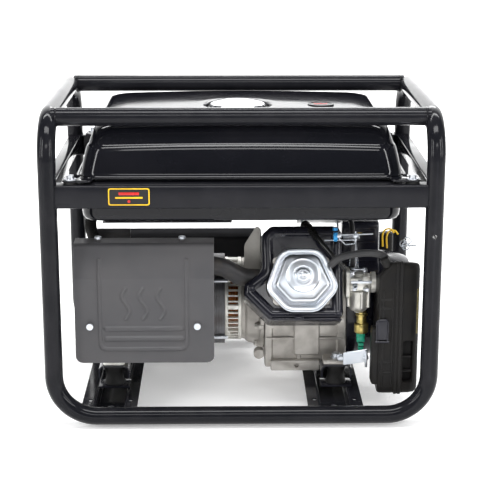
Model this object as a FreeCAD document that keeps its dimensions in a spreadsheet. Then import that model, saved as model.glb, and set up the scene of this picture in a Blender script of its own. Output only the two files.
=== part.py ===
import FreeCAD, Part

import math
import os
import re

import Sketcher

# Portable petrol generator: tube frame, fuel tank, slanted single-cylinder engine, alternator,
# muffler and control panel.  Millimetres, +Z up, origin on the floor under the middle of the frame.
# The muffler side is -Y, the control panel side is +Y, the alternator is at -X.

Vector = FreeCAD.Vector
X, Y, Z = Vector(1, 0, 0), Vector(0, 1, 0), Vector(0, 0, 1)

doc = FreeCAD.newDocument("portable_generator")
sheet = doc.addObject("Spreadsheet::Sheet", "Sizes")

# ---------------------------------------------------------------- driving dimensions
SIZES = [
    # tube frame
    ("frame_width", 700), ("frame_depth", 512), ("frame_height", 572),
    ("tube_od", 32), ("tube_wall", 2), ("floor_gap", 6),
    ("corner_radius", 75), ("shoulder_radius", 70), ("top_tube_inset", 45),
    ("handle_hole_height", 355), ("handle_hole", 8.5),
    # tank rails and cross rails
    ("rail_bottom", 405), ("rail_height", 41), ("rail_flange", 28), ("rail_sheet", 2.5),
    ("rail_stand_out", 10), ("end_rail_size", 25), ("end_rail_wall", 2),
    ("cross_rail_width", 100), ("channel_width", 51), ("channel_depth", 24),
    ("cross_rail_top", 36), ("engine_rail_x", 169), ("alternator_rail_x", -238),
    ("wheel_hole", 9), ("wheel_hole_spacing", 73),
    # feet and rubber mounts
    ("foot_diameter", 38), ("foot_inset", 41), ("mount_y", 118),
    ("engine_mount_x", 177), ("alternator_mount_x", -236), ("mount_plate_width", 58),
    ("mount_plate_thickness", 4), ("rubber_width", 34), ("bracket_top", 80),
    ("bracket_width", 55), ("bracket_depth", 40), ("bracket_sheet", 3), ("lug_height", 8),
    # fuel tank
    ("tank_length", 540), ("tank_depth", 420), ("tank_bottom", 372), ("tank_seam", 450),
    ("tank_crease", 504), ("tank_shoulder", 538), ("tank_top", 546), ("tank_wall", 2),
    ("tank_corner", 34), ("seam_lip", 8), ("seam_sheet", 1.5), ("shoulder_set_back", 26),
    ("crown_length", 330), ("crown_depth", 220), ("ear_hole_inset_x", 39),
    ("ear_hole_inset_y", 8), ("ear_hole", 9), ("neck_diameter", 62), ("cap_x", -5),
    ("cap_diameter", 102), ("cap_skirt", 14.7), ("cap_top_height", 551), ("cap_dish", 10),
    ("cap_dish_margin", 9), ("cap_sheet", 3), ("running_gap", 0.4), ("cock_x", 150), ("cock_y", 110),
    # engine
    ("crank_y", 10), ("crank_z", 165), ("cylinder_tilt", 26), ("crankcase_left", 45),
    ("crankcase_right", 198), ("crankcase_front", 95), ("crankcase_back", 85),
    ("crankcase_bottom", 52), ("crankcase_top", 250), ("crankcase_wall", 7),
    ("cylinder_x", 108), ("bore", 88), ("stroke", 64), ("cylinder_half_width", 59),
    ("head_half_height", 46), ("barrel_foot", 100), ("head_face", 200), ("bore_depth", 178),
    ("rocker_width", 124), ("rocker_height", 115), ("rocker_depth", 40), ("rocker_rim", 5),
    ("rocker_rim_width", 9), ("shroud_left", 8), ("shroud_right", 184), ("shroud_back", 112),
    ("shroud_face", 196), ("shroud_drop", 71), ("shroud_rise", 103), ("shroud_sheet", 2.5),
    ("crank_radius", 17), ("shaft_fit", 0.05), ("cover_radius", 97), ("cover_left", 2),
    ("fan_radius", 108), ("fan_right", 262), ("recoil_radius", 95), ("recoil_right", 325),
    ("shell_wall", 3), ("flywheel_radius", 98), ("reel_radius", 50), ("rope_diameter", 6),
    ("starter_x", 292), ("starter_rise", 53), ("guide_reach", 92), ("grip_length", 104),
    ("grip_diameter", 27), ("reel_bore", 16), ("dipstick_z", 96), ("dipstick_x", 130),
    ("dipstick_length", 70),
    # carburettor and air cleaner
    ("carburettor_x", 216), ("carburettor_y", -132), ("bowl_diameter", 44),
    ("bowl_bottom", 181), ("carburettor_top", 270), ("cleaner_front", 198),
    ("cleaner_back", 104), ("case_left", 246), ("cover_split", 284), ("cleaner_right", 320),
    ("cleaner_bottom", 44), ("cleaner_top", 296), ("cleaner_wall", 2.5),
    ("hose_diameter", 13), ("fuel_hose_diameter", 9),
    # exhaust
    ("exhaust_diameter", 34), ("muffler_left", -285), ("muffler_right", -66),
    ("muffler_front", 202), ("muffler_back", 98), ("muffler_bottom", 150), ("muffler_top", 318),
    ("muffler_round", 40), ("muffler_sheet", 2), ("tail_pipe_diameter", 28),
    ("shield_left", -297), ("shield_right", -49), ("shield_front", 218), ("shield_sheet", 2),
    ("shield_bottom", 113), ("shield_crease", 270), ("shield_top", 334), ("shield_lean", 14),
    ("shield_roof", 42), ("shield_corner", 13),
    # alternator
    ("alternator_radius", 80), ("stator_radius", 87), ("stator_bore", 60), ("air_gap", 1),
    ("front_bell_left", -30), ("stator_left", -165), ("end_bell_left", -268), ("bell_wall", 5),
    # control panel
    ("panel_left", -305), ("panel_right", 45), ("panel_back", 168), ("panel_front", 240),
    ("panel_bottom", 66), ("panel_top", 246), ("panel_sheet", 2), ("face_sheet", 3),
    ("panel_leg_width", 30), ("panel_leg_depth", 10),
    ("socket_diameter", 54), ("socket_z", 118), ("control_row_z", 198), ("socket_recess", 9),
    ("first_socket_x", -240), ("socket_pitch", 70), ("voltmeter_x", -245), ("voltmeter_bore", 52),
    ("breaker_x", -142), ("switch_x", -20), ("switch_bore", 14),
]
for row, (alias, value) in enumerate(SIZES, 1):
    sheet.set(f"A{row}", alias)
    sheet.set(f"B{row}", str(value))
    sheet.setAlias(f"B{row}", alias)
ALIASES = {alias for alias, _ in SIZES}

# Places worked out from the driving dimensions, as text that the expressions below use.
DERIVED = {
    "post_x": "(frame_width - tube_od) / 2",
    "hoop_y": "(frame_depth - tube_od) / 2",
    "tube_r": "tube_od / 2",
    "bore_r": "tube_od / 2 - tube_wall",
    "bottom_z": "floor_gap + tube_od / 2",
    "top_z": "frame_height - tube_od / 2",
    "rail_top": "rail_bottom + rail_height",
    "rail_face_y": "hoop_y + rail_stand_out",
    "channel_floor": "cross_rail_top - channel_depth",
    "foot_y": "hoop_y - foot_inset",
    "rubber_foot": "cross_rail_top + mount_plate_thickness",
    "bracket_under": "bracket_top - bracket_sheet",
    "lug_top": "bracket_top + lug_height",
    "tank_x": "tank_length / 2",
    "tank_y": "tank_depth / 2",
    "seam_top": "tank_seam + 2 * seam_sheet",
    "ear_x": "post_x - ear_hole_inset_x",
    "ear_y": "hoop_y - ear_hole_inset_y",
    "face_back": "panel_front",
    "face_front": "panel_front + face_sheet",
    "rope_z": "crank_z + starter_rise",
    "guide_end_y": "crank_y + guide_reach",
}


def expression(text):
    """The text with every size spelt as a cell of the sheet, and derived places written out."""
    def spell(match):
        word = match.group(0)
        if word in DERIVED:
            return "(" + expression(DERIVED[word]) + ")"
        return "Sizes." + word if word in ALIASES else word
    return re.sub(r"[a-z][a-z_0-9]*", spell, str(text))


doc.recompute()
probe = doc.addObject("Part::Vertex", "Probe")


def number(text):
    """The value of an expression, read back from a point that is bound to it."""
    probe.setExpression("X", expression(text))
    probe.recompute()
    return float(probe.X)


# ---------------------------------------------------------------- helpers for primitives
def bind(feature, **sizes):
    for prop, text in sizes.items():
        feature.setExpression(prop, expression(text))
    return feature


def put(feature, x, y, z):
    for axis, text in (("x", x), ("y", y), ("z", z)):
        feature.setExpression("Placement.Base." + axis, expression(text))
    return feature


def turned(x_goes_to, y_goes_to):
    """A rotation that sends the local X and Y axes to the two given directions."""
    return FreeCAD.Rotation(x_goes_to, y_goes_to, x_goes_to.cross(y_goes_to), "XYZ")


def box(x0, x1, y0, y1, z0, z1):
    block = doc.addObject("Part::Box", "Block")
    bind(block, Length=f"({x1}) - ({x0})", Width=f"({y1}) - ({y0})", Height=f"({z1}) - ({z0})")
    return put(block, x0, y0, z0)


def rod(direction, x, y, z, length, radius):
    """A cylinder that starts at x, y, z and runs along the direction."""
    post = doc.addObject("Part::Cylinder", "Rod")
    bind(post, Radius=radius, Height=length)
    post.Placement = FreeCAD.Placement(Vector(), FreeCAD.Rotation(Z, direction))
    return put(post, x, y, z)


def taper(direction, x, y, z, length, start_radius, end_radius):
    cone = doc.addObject("Part::Cone", "Taper")
    bind(cone, Radius1=start_radius, Radius2=end_radius, Height=length)
    cone.Placement = FreeCAD.Placement(Vector(), FreeCAD.Rotation(Z, direction))
    return put(cone, x, y, z)


def elbow(x, y, z, bend, radius, from_side, to_side):
    """A quarter of a torus about x, y, z, from one direction of its centre to the other."""
    ring = doc.addObject("Part::Torus", "Elbow")
    bind(ring, Radius1=bend, Radius2=radius)
    ring.Angle3 = 90
    ring.Placement = FreeCAD.Placement(Vector(), turned(from_side, to_side))
    return put(ring, x, y, z)


def fuse(*pieces):
    union = doc.addObject("Part::MultiFuse", "Union")
    union.Shapes = list(pieces)
    return union


def hold(feature):
    """A wrapper, so that a primitive keeps its own place when the wrapper is turned."""
    wrapper = doc.addObject("Part::Compound", "Held")
    wrapper.Links = [feature]
    return wrapper


def cut(base, *tools):
    for tool in tools:
        hollow = doc.addObject("Part::Cut", "Hollow")
        hollow.Base, hollow.Tool = base, tool
        base = hollow
    return base


PLANES = {"XY": "XY_Plane", "XZ": "XZ_Plane", "YZ": "YZ_Plane"}


def pad(plane, corners, length, x=0, y=0, z=0, round_radius=None, round_corners=()):
    """A PartDesign body: a closed outline of bound corners on an origin plane, padded.

    The XZ plane's sketch has its normal along -Y, so that pad runs towards -Y."""
    body = doc.addObject("PartDesign::Body", "Body")
    sketch = body.newObject("Sketcher::SketchObject", "Outline")
    for feature in body.Origin.OriginFeatures:
        if feature.Role == PLANES[plane]:
            sketch.AttachmentSupport = (feature, [""])
    sketch.MapMode = "FlatFace"
    points = [Vector(number(u), number(v), 0) for u, v in corners]
    for i, point in enumerate(points):
        sketch.addGeometry(Part.LineSegment(point, points[(i + 1) % len(points)]))
    for i, (u, v) in enumerate(corners):
        sketch.addConstraint(Sketcher.Constraint("Coincident", i, 2, (i + 1) % len(points), 1))
        for kind, text, value in (("DistanceX", u, points[i].x), ("DistanceY", v, points[i].y)):
            index = sketch.addConstraint(Sketcher.Constraint(kind, -1, 1, i, 1, value))
            sketch.setExpression(f"Constraints[{index}]", expression(text))
    grown = body.newObject("PartDesign::Pad", "Grown")
    grown.Profile = sketch
    bind(grown, Length=length)
    doc.recompute()
    if round_radius:
        soften = body.newObject("PartDesign::Fillet", "Soften")
        along = {"XY": Z, "XZ": Y, "YZ": X}[plane]
        edges = []
        for i, edge in enumerate(grown.Shape.Edges, 1):
            start, end = edge.Vertexes[0].Point, edge.Vertexes[-1].Point
            run = end - start
            if run.Length > 0.01 and abs(run.normalize().dot(along)) > 0.999:
                flat = {"XY": (start.x, start.y), "XZ": (start.x, start.z),
                        "YZ": (start.y, start.z)}[plane]
                for k in round_corners or range(len(points)):
                    if abs(flat[0] - points[k].x) < 0.01 and abs(flat[1] - points[k].y) < 0.01:
                        edges.append(f"Edge{i}")
        soften.Base = (grown, edges)
        bind(soften, Radius=round_radius)
    put(body, x, y, z)
    return body


def rounded(feature, radius, direction):
    """Rounds the edges of a box that run along one direction."""
    doc.recompute()
    soft = doc.addObject("Part::Fillet", "Soft")
    soft.Base = feature
    value = number(radius)
    chosen = []
    for i, edge in enumerate(feature.Shape.Edges, 1):
        run = edge.Vertexes[-1].Point - edge.Vertexes[0].Point
        if run.Length > 0.01 and abs(run.normalize().dot(direction)) > 0.999:
            chosen.append((i, value, value))
    soft.Edges = chosen
    return soft


def pipe(points, diameter):
    """A round bar along straight runs that are joined by tangent arcs."""
    route = [Vector(*(number(axis) for axis in point)) for point in points]
    edges, start = [], route[0]
    for before, corner, after in zip(route, route[1:], route[2:]):
        way_in, way_out = (corner - before).normalize(), (after - corner).normalize()
        half_turn = way_in.getAngle(way_out) / 2
        reach = 0.45 * min((corner - before).Length, (after - corner).Length)
        radius = reach / math.tan(half_turn)
        inside = (way_out - way_in).normalize()
        middle = corner + inside * (radius / math.cos(half_turn) - radius)
        arc_start, arc_end = corner - way_in * reach, corner + way_out * reach
        edges.append(Part.LineSegment(start, arc_start).toShape())
        edges.append(Part.Arc(arc_start, middle, arc_end).toShape())
        start = arc_end
        print(f"bend radius {radius:.0f} mm on a {number(diameter):.0f} mm tube")
    edges.append(Part.LineSegment(start, route[-1]).toShape())
    first = (route[1] - route[0]).normalize()
    ring = Part.Wire([Part.makeCircle(number(diameter) / 2, route[0], first)])
    feature = doc.addObject("Part::Feature", "Pipe")
    feature.Shape = Part.Wire(edges).makePipeShell([ring], True, False)
    return feature


def tilt(feature):
    """Turns a piece drawn with its cylinder axis along -Y up to the slant of the engine."""
    feature.Placement = FreeCAD.Placement(Vector(), FreeCAD.Rotation(Vector(-1, 0, 0), 1))
    feature.setExpression("Placement.Rotation.Angle", expression("cylinder_tilt * 1 deg"))
    return put(feature, 0, "crank_y", "crank_z")


parts = {}


def node(name, feature):
    feature.Label = name
    parts[name] = feature
    return feature


# ---------------------------------------------------------------- tube frame
def hoop_tubes(side, radius):
    """Posts, bottom run, corners and half of the two top runs of one side of the frame."""
    y = f"{side} * hoop_y"
    outward = Y * side
    pieces = [rod(X, "corner_radius - post_x", y, "bottom_z", "2 * (post_x - corner_radius)", radius)]
    for end in (-1, 1):
        x = f"{end} * post_x"
        pieces += [
            elbow(f"{end} * (post_x - corner_radius)", y, "bottom_z + corner_radius",
                  "corner_radius", radius, X * end, -Z),
            rod(Z, x, y, "bottom_z + corner_radius",
                "top_z - shoulder_radius - bottom_z - corner_radius", radius),
            elbow(x, f"{side} * (hoop_y - shoulder_radius)", "top_z - shoulder_radius",
                  "shoulder_radius", radius, outward, Z),
            rod(-outward, x, f"{side} * (hoop_y - shoulder_radius)", "top_z",
                "hoop_y - shoulder_radius", radius),
        ]
    return fuse(*pieces)


solid_hoops = {}
for side, name in ((-1, "muffler_side_hoop"), (1, "panel_side_hoop")):
    outside = hoop_tubes(side, "tube_r")
    solid_hoops[side] = outside
    handle_hole = rod(Y * side, "post_x", f"{side} * (hoop_y - tube_r - 2)", "handle_hole_height",
                      "2 * tube_r + 4", "handle_hole / 2")
    node(name, cut(outside, hoop_tubes(side, "bore_r"), handle_hole))

top_tubes = []
for side in (-1, 1):
    y = f"{side} * (hoop_y - top_tube_inset)"
    outside = rod(X, "-post_x", y, "top_z", "2 * post_x", "tube_r")
    inside = rod(X, "-post_x - 1", y, "top_z", "2 * post_x + 2", "bore_r")
    top_tubes.append(cut(outside, inside, solid_hoops[side]))
node("top_tubes", fuse(*top_tubes))

for side, name in ((-1, "muffler_side_tank_rail"), (1, "panel_side_tank_rail")):
    outer = ("rail_face_y", "rail_bottom"), ("rail_face_y", "rail_top")
    lip = "rail_face_y - rail_flange"
    skin = "rail_face_y - rail_sheet"
    corners = [*outer, (lip, "rail_top"), (lip, "rail_top - rail_sheet"),
               (skin, "rail_top - rail_sheet"), (skin, "rail_bottom + rail_sheet"),
               (lip, "rail_bottom + rail_sheet"), (lip, "rail_bottom")]
    corners = [(f"{side} * ({u})", v) for u, v in corners]
    channel = pad("YZ", corners, "2 * post_x", x="-post_x")
    holes = [rod(Z, f"{end} * ear_x", f"{side} * ear_y", "rail_top - rail_sheet - 1",
                 "rail_sheet + 2", "ear_hole / 2") for end in (-1, 1)]
    node(name, cut(channel, solid_hoops[side], *holes))

end_bars = {}
for end, name in ((-1, "alternator_end_tank_rail"), (1, "engine_end_tank_rail")):
    x = f"{end} * post_x"
    z = "rail_top - end_rail_size"
    half, inner = "end_rail_size / 2", "end_rail_size / 2 - end_rail_wall"
    bar = box(f"{x} - {half}", f"{x} + {half}", "-hoop_y", "hoop_y", z, "rail_top")
    core = box(f"{x} - ({inner})", f"{x} + {inner}", "-hoop_y", "hoop_y",
               f"{z} + end_rail_wall", "rail_top - end_rail_wall")
    rails = [parts["muffler_side_tank_rail"], parts["panel_side_tank_rail"]]
    end_bars[end] = bar
    node(name, cut(bar, core, solid_hoops[-1], solid_hoops[1], *rails))

RAILS = {"engine_cross_rail": ("engine_rail_x", "engine_mount_x"),
         "alternator_cross_rail": ("alternator_rail_x", "alternator_mount_x")}
for name, (rail_x, _) in RAILS.items():
    wide, slot, sheet_t = "cross_rail_width / 2", "channel_width / 2", "rail_sheet"
    right = [(wide, "cross_rail_top"), (f"{slot}", "cross_rail_top"),
             (slot, f"channel_floor + {sheet_t}")]
    under = [(f"{slot} + {sheet_t}", "channel_floor"),
             (f"{slot} + {sheet_t}", f"cross_rail_top - {sheet_t}"),
             (wide, f"cross_rail_top - {sheet_t}")]
    corners = ([(f"-({u})", v) for u, v in right] + [(u, v) for u, v in reversed(right)]
               + [(u, v) for u, v in reversed(under)] + [(f"-({u})", v) for u, v in under])
    hat = pad("XZ", corners, "2 * hoop_y", x=rail_x, y="hoop_y")
    holes = [rod(Z, rail_x, f"{side} * foot_y", "channel_floor - 1", "rail_sheet + 2", 4.5)
             for side in (-1, 1)]
    holes += [rod(Z, f"{rail_x} + {end} * wheel_hole_spacing / 2", f"{side} * foot_y",
                  "cross_rail_top - 4", 6, "wheel_hole / 2")
              for side in (-1, 1) for end in (-1, 1)]
    node(name, cut(hat, solid_hoops[-1], solid_hoops[1], *holes))

feet, blocks, brackets, bolts = [], [], [], []
for rail_x, mount_x in RAILS.values():
    for side in (-1, 1):
        y, my = f"{side} * foot_y", f"{side} * mount_y"
        feet.append(taper(Z, rail_x, y, 0, "channel_floor", "foot_diameter / 2 - 3",
                          "foot_diameter / 2"))
        bolts += [rod(Z, rail_x, y, "channel_floor + rail_sheet", 2, 9),
                  rod(Z, rail_x, y, "channel_floor + rail_sheet + 2", 6, 6.5)]
        half, leg = "bracket_width / 2", "bracket_sheet"
        deep = "bracket_depth / 2"
        blocks.append(box(f"{mount_x} - rubber_width / 2", f"{mount_x} + rubber_width / 2",
                          f"{my} - 17", f"{my} + 17", "rubber_foot", "bracket_under"))
        brackets += [
            box(f"{mount_x} - mount_plate_width / 2", f"{mount_x} + mount_plate_width / 2",
                f"{my} - {deep}", f"{my} + {deep}", "cross_rail_top", "rubber_foot"),
            fuse(box(f"{mount_x} - {half}", f"{mount_x} + {half}", f"{my} - {deep}",
                     f"{my} + {deep}", "bracket_under", "bracket_top"),
                 *[box(f"{mount_x} + {end} * ({half} - {leg} / 2) - {leg} / 2",
                       f"{mount_x} + {end} * ({half} - {leg} / 2) + {leg} / 2",
                       f"{my} - {deep}", f"{my} + {deep}", "bracket_under - 16",
                       "bracket_under") for end in (-1, 1)])]
        bolts += [rod(Z, mount_x, my, "lug_top", 2, 10), rod(Z, mount_x, my, "lug_top + 2", 7, 7.5)]
node("rubber_feet", fuse(*feet))

# ---------------------------------------------------------------- fuel tank
def seam_plate(z0, z1):
    """The flat lip that runs round the tank, with an ear over each corner of the rails."""
    lip = rounded(box("-tank_x - seam_lip", "tank_x + seam_lip", "-tank_y - seam_lip",
                      "tank_y + seam_lip", z0, z1), "tank_corner", Z)
    ears = [rounded(box(f"{end} * (ear_x - 5) - 19", f"{end} * (ear_x - 5) + 19",
                        f"{side} * (ear_y - 14) - 26", f"{side} * (ear_y - 14) + 26", z0, z1),
                    10, Z) for end in (-1, 1) for side in (-1, 1)]
    bores = [rod(Z, f"{end} * ear_x", f"{side} * ear_y", f"{z0} - 1", f"{z1} - ({z0}) + 2",
                 "ear_hole / 2") for end in (-1, 1) for side in (-1, 1)]
    return fuse(lip, *ears), bores


def tank_bowl(inset, z0, z1):
    return rounded(box(f"{inset} - tank_x", f"tank_x - ({inset})", f"{inset} - tank_y",
                       f"tank_y - ({inset})", z0, z1), f"tank_corner - ({inset})", Z)


def frustum(inset, z0, z1, low_x, low_y, high_x, high_y):
    hill = doc.addObject("Part::Wedge", "Hill")
    bind(hill, Xmin=f"{inset} - ({low_x})", Xmax=f"{low_x} - ({inset})",
         Zmin=f"{inset} - ({low_y})", Zmax=f"{low_y} - ({inset})",
         X2min=f"{inset} - ({high_x})", X2max=f"{high_x} - ({inset})",
         Z2min=f"{inset} - ({high_y})", Z2max=f"{high_y} - ({inset})",
         Ymin=0, Ymax=f"{z1} - ({z0})")
    hill.Placement = FreeCAD.Placement(Vector(), turned(X, Z))
    return put(hill, 0, 0, z0)


def tank_dome(inset, floor):
    top = f"tank_top - ({inset})"
    shoulder, crease = f"tank_shoulder - ({inset})", f"tank_crease - ({inset}) / 2"
    return fuse(
        tank_bowl(inset, floor, crease),
        frustum(inset, crease, shoulder, "tank_x - 6", "tank_y - 6",
                "tank_x - shoulder_set_back", "tank_y - shoulder_set_back"),
        frustum(inset, shoulder, top, "tank_x - shoulder_set_back",
                "tank_y - shoulder_set_back", "crown_length / 2", "crown_depth / 2"))


lower_lip, lower_bores = seam_plate("tank_seam", "tank_seam + seam_sheet")
upper_lip, upper_bores = seam_plate("tank_seam + seam_sheet", "seam_top")
lower_skin = fuse(lower_lip, tank_bowl(0, "tank_bottom", "tank_seam + seam_sheet"))
dish_floor = "tank_top - cap_dish"
dish = rod(Z, "cap_x", 0, dish_floor, 20, "cap_diameter / 2 + cap_dish_margin")
under_dish = rod(Z, "cap_x", 0, f"{dish_floor} - tank_wall", 30,
                 "cap_diameter / 2 + cap_dish_margin + tank_wall")
upper_skin = fuse(upper_lip, cut(tank_dome(0, "tank_seam + seam_sheet"), dish),
                  rod(Z, "cap_x", 0, dish_floor, "cap_dish - 1", "neck_diameter / 2"))
node("tank_lower_shell",
     cut(lower_skin, tank_bowl("tank_wall", "tank_bottom + tank_wall", "tank_seam + 10"),
         rod(Z, "cock_x", "cock_y", "tank_bottom - 1", "tank_wall + 2", 8), *lower_bores))
node("tank_upper_shell",
     cut(upper_skin, cut(tank_dome("tank_wall", "tank_seam"), under_dish),
         rod(Z, "cap_x", 0, f"{dish_floor} - 10", 30, "neck_diameter / 2 - tank_wall"),
         *upper_bores))

cap_grip = taper(Z, "cap_x", 0, "cap_top_height - cap_sheet", "cap_sheet", "cap_diameter / 2",
                 "cap_diameter / 2 - 5")
cap_wall = rod(Z, "cap_x", 0, "cap_top_height - cap_skirt", "cap_skirt - cap_sheet",
               "cap_diameter / 2")
cap_room = rod(Z, "cap_x", 0, "cap_top_height - cap_skirt - 1", "cap_skirt + 1 - cap_sheet",
               "cap_diameter / 2 - cap_sheet")
node("fuel_cap", cut(fuse(cap_grip, cap_wall), cap_room))
insert_top = "cap_top_height - cap_sheet - running_gap"
insert_radius = "neck_diameter / 2 - tank_wall - running_gap"
node("fuel_cap_insert", cut(
    rod(Z, "cap_x", 0, f"{insert_top} - 20", 20, insert_radius),
    rod(Z, "cap_x", 0, f"{insert_top} - 21", 16, f"{insert_radius} - cap_sheet")))

for end in (-1, 1):
    for side in (-1, 1):
        x, y = f"{end} * ear_x", f"{side} * ear_y"
        blocks.append(cut(rod(Z, x, y, "rail_top", "tank_seam - rail_top", 12),
                          rod(Z, x, y, "rail_top - 1", "tank_seam - rail_top + 2", "ear_hole / 2")))
        bolts.append(fuse(rod(Z, x, y, "seam_top", 2, 11), rod(Z, x, y, "seam_top + 2", 6, 6.5),
                          rod(Z, x, y, "rail_top - 8", "seam_top - rail_top + 8", 4)))
node("rubber_mounts", fuse(*blocks))
node("mount_brackets", fuse(*brackets))

spacers = [rod(Z, x, y, "tank_bottom - 5", 5, 7) for x in (-225, -40) for y in (-160, -40)]
node("tank_heat_shield", fuse(box(-245, -17, -188, -20, "tank_bottom - 7", "tank_bottom - 5"),
                              *spacers))

lever_y = "cock_y + 14 + running_gap"
node("fuel_cock", cut(fuse(rod(Z, "cock_x", "cock_y", "tank_bottom - 4", 4, 13),
                           rod(Z, "cock_x", "cock_y", "tank_bottom - 34", 30, 9),
                           rod(-Y, "cock_x", "cock_y", "tank_bottom - 27", 22, 4),
                           rod(Y, "cock_x", "cock_y", "tank_bottom - 20", 14, 8)),
                      rod(Z, "cock_x", "cock_y", "tank_bottom - 30", 40, 3)))
node("fuel_cock_lever", fuse(rod(Y, "cock_x", lever_y, "tank_bottom - 20", 6, 8),
                             box("cock_x - 4", "cock_x + 4", f"{lever_y} + 2", f"{lever_y} + 6",
                                 "tank_bottom - 50", "tank_bottom - 20")))

# ---------------------------------------------------------------- engine, upright pieces
room = "crankcase_wall"
case_block = rounded(box("crankcase_left", "crankcase_right", "crank_y - crankcase_front",
                         "crank_y + crankcase_back", "crankcase_bottom", "crankcase_top"), 22, X)
lugs = [box("engine_mount_x - 22", "crankcase_right + 8", f"{side} * mount_y - 20",
            f"{side} * mount_y + 20", "bracket_top", "lug_top") for side in (-1, 1)]
web_spans = [("20 - mount_y", "crank_y - 80"), ("crank_y + 80", "mount_y - 20")]
webs = [box("engine_mount_x - 22", "crankcase_right", y0, y1, "bracket_top", "lug_top + 14")
        for y0, y1 in web_spans]
case_room = rounded(box("crankcase_left - 1", f"crankcase_right - {room}",
                        f"crank_y - crankcase_front + {room}",
                        f"crank_y + crankcase_back - {room}", f"crankcase_bottom + {room}",
                        f"crankcase_top - {room}"), 15, X)
barrel_way = tilt(hold(box("cylinder_x - cylinder_half_width", "cylinder_x + cylinder_half_width",
                      "-head_face", "-barrel_foot", "-head_half_height", "head_half_height")))
bore_way = tilt(hold(rod(-Y, "cylinder_x", 0, 0, "head_face", "bore / 2")))
shaft_way = rod(X, "cover_left - 1", "crank_y", "crank_z", "fan_right", "crank_radius + shaft_fit")
filler_way = rod(Y, "dipstick_x", "crank_y + crankcase_back - 12", "dipstick_z", 14, 12)
case_shroud_way = tilt(hold(box("shroud_left - 1", "shroud_right + 1", "-shroud_face",
                                "-shroud_back - 0.3", "-shroud_drop - 1", "shroud_rise + 1")))
node("crankcase", cut(fuse(case_block, *lugs, *webs), case_room, barrel_way, bore_way, shaft_way,
                      filler_way, case_shroud_way))

cover_disc = fuse(rod(X, "cover_left + 8", "crank_y", "crank_z", "crankcase_left - cover_left - 8",
                      "cover_radius"),
                  rod(X, "cover_left", "crank_y", "crank_z", 8, "alternator_radius"))
cover_room = rod(X, "cover_left + 12", "crank_y", "crank_z", "crankcase_left", "cover_radius - 10")
node("crankcase_cover", cut(cover_disc, cover_room, shaft_way, case_shroud_way))

head = box("cylinder_x - cylinder_half_width", "cylinder_x + cylinder_half_width", "-head_face",
           "-barrel_foot", "-head_half_height", "head_half_height")
cylinder = rod(-Y, "cylinder_x", 0, 0, "bore_depth", "bore / 2")
node("cylinder_head", tilt(cut(head, cylinder)))
node("piston", tilt(cut(rod(-Y, "cylinder_x", "-bore_depth + stroke + 58", 0, 54,
                            "bore / 2 - 0.06"),
                        rod(-Y, "cylinder_x", "-bore_depth + stroke + 59", 0, 45,
                            "bore / 2 - 6"))))

rocker_outline = [(-34, 57.5), (34, 57.5), (62, -16), (26, -57.5), (-26, -57.5), (-62, -16)]


def rocker_form(inset, start, depth):
    corners = [(f"cylinder_x + {u} * (rocker_width / 124) - ({inset}) * {u} / 62",
                f"{v} * (rocker_height / 115) - ({inset}) * {v} / 57.5")
               for u, v in rocker_outline]
    return pad("XZ", corners, depth, y=start, round_radius=14)


node("rocker_cover", tilt(fuse(
    rocker_form("0", "-head_face - 0.01", "rocker_rim"),
    rocker_form("rocker_rim_width", "-head_face - rocker_rim", "rocker_depth - rocker_rim - 8"),
    taper(-Y, "cylinder_x", "-head_face - rocker_depth + 8", 0, 8, 30, 16))))

inner = "shroud_sheet"
shroud_box = rounded(box("shroud_left", "shroud_right", "-shroud_face", "-shroud_back",
                         "-shroud_drop", "shroud_rise"), 12, Y)
shroud_room = rounded(box(f"shroud_left + {inner}", "shroud_right + 1", f"{inner} - shroud_face",
                          "-shroud_back + 1", f"{inner} - shroud_drop",
                          f"shroud_rise - {inner}"), 9, Y)
rocker_window = box("cylinder_x - cylinder_half_width - 0.3",
                    "cylinder_x + cylinder_half_width + 0.3", "-shroud_face - 1",
                    "-shroud_face + 10", "-head_half_height - 0.3", "head_half_height + 0.3")
exhaust_window = box("shroud_left - 1", "shroud_left + 8", -189, -141, -15, 35)
node("cylinder_shroud", tilt(cut(shroud_box, shroud_room, rocker_window, exhaust_window)))

fan_case = rod(X, "crankcase_right", "crank_y", "crank_z", "fan_right - crankcase_right",
               "fan_radius")
fan_room = rod(X, "crankcase_right + shell_wall", "crank_y", "crank_z", "fan_right",
               "fan_radius - shell_wall")
fan_shaft_hole = rod(X, "crankcase_right - 1", "crank_y", "crank_z", 10, "crank_radius + 1")
node("fan_housing", cut(fan_case, fan_room, fan_shaft_hole))
recoil_case = fuse(rod(X, "fan_right", "crank_y", "crank_z", "recoil_right - fan_right - 12",
                       "recoil_radius"),
                   taper(X, "recoil_right - 12", "crank_y", "crank_z", 12, "recoil_radius",
                         "recoil_radius - 16"),
                   box("starter_x - 16", "starter_x + 16", "crank_y + 40", "guide_end_y",
                       "rope_z - 14", "rope_z + 14"))
recoil_room = fuse(rod(X, "fan_right - 1", "crank_y", "crank_z", "recoil_right - fan_right - 13",
                       "recoil_radius - shell_wall"),
                   taper(X, "recoil_right - 14", "crank_y", "crank_z", "14 - shell_wall",
                         "recoil_radius - shell_wall", "recoil_radius - 16 - shell_wall"))
reel_post = rod(X, "starter_x - 13", "crank_y", "crank_z", "recoil_right - starter_x + 11",
                "reel_bore / 2 - shaft_fit")
rope_hole = rod(Y, "starter_x", "crank_y + 30", "rope_z", 90, "rope_diameter / 2 + 0.8")
node("recoil_cover", fuse(cut(recoil_case, recoil_room, rope_hole), reel_post))
node("recoil_reel", cut(fuse(rod(X, "starter_x - 9", "crank_y", "crank_z", 18, "reel_radius"),
                             rod(X, "starter_x - 11", "crank_y", "crank_z", 2, "reel_radius + 6"),
                             rod(X, "starter_x + 9", "crank_y", "crank_z", 2, "reel_radius + 6")),
                        rod(X, "starter_x - 20", "crank_y", "crank_z", 60, "reel_bore / 2")))
grip_y = "guide_end_y + 18"
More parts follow.
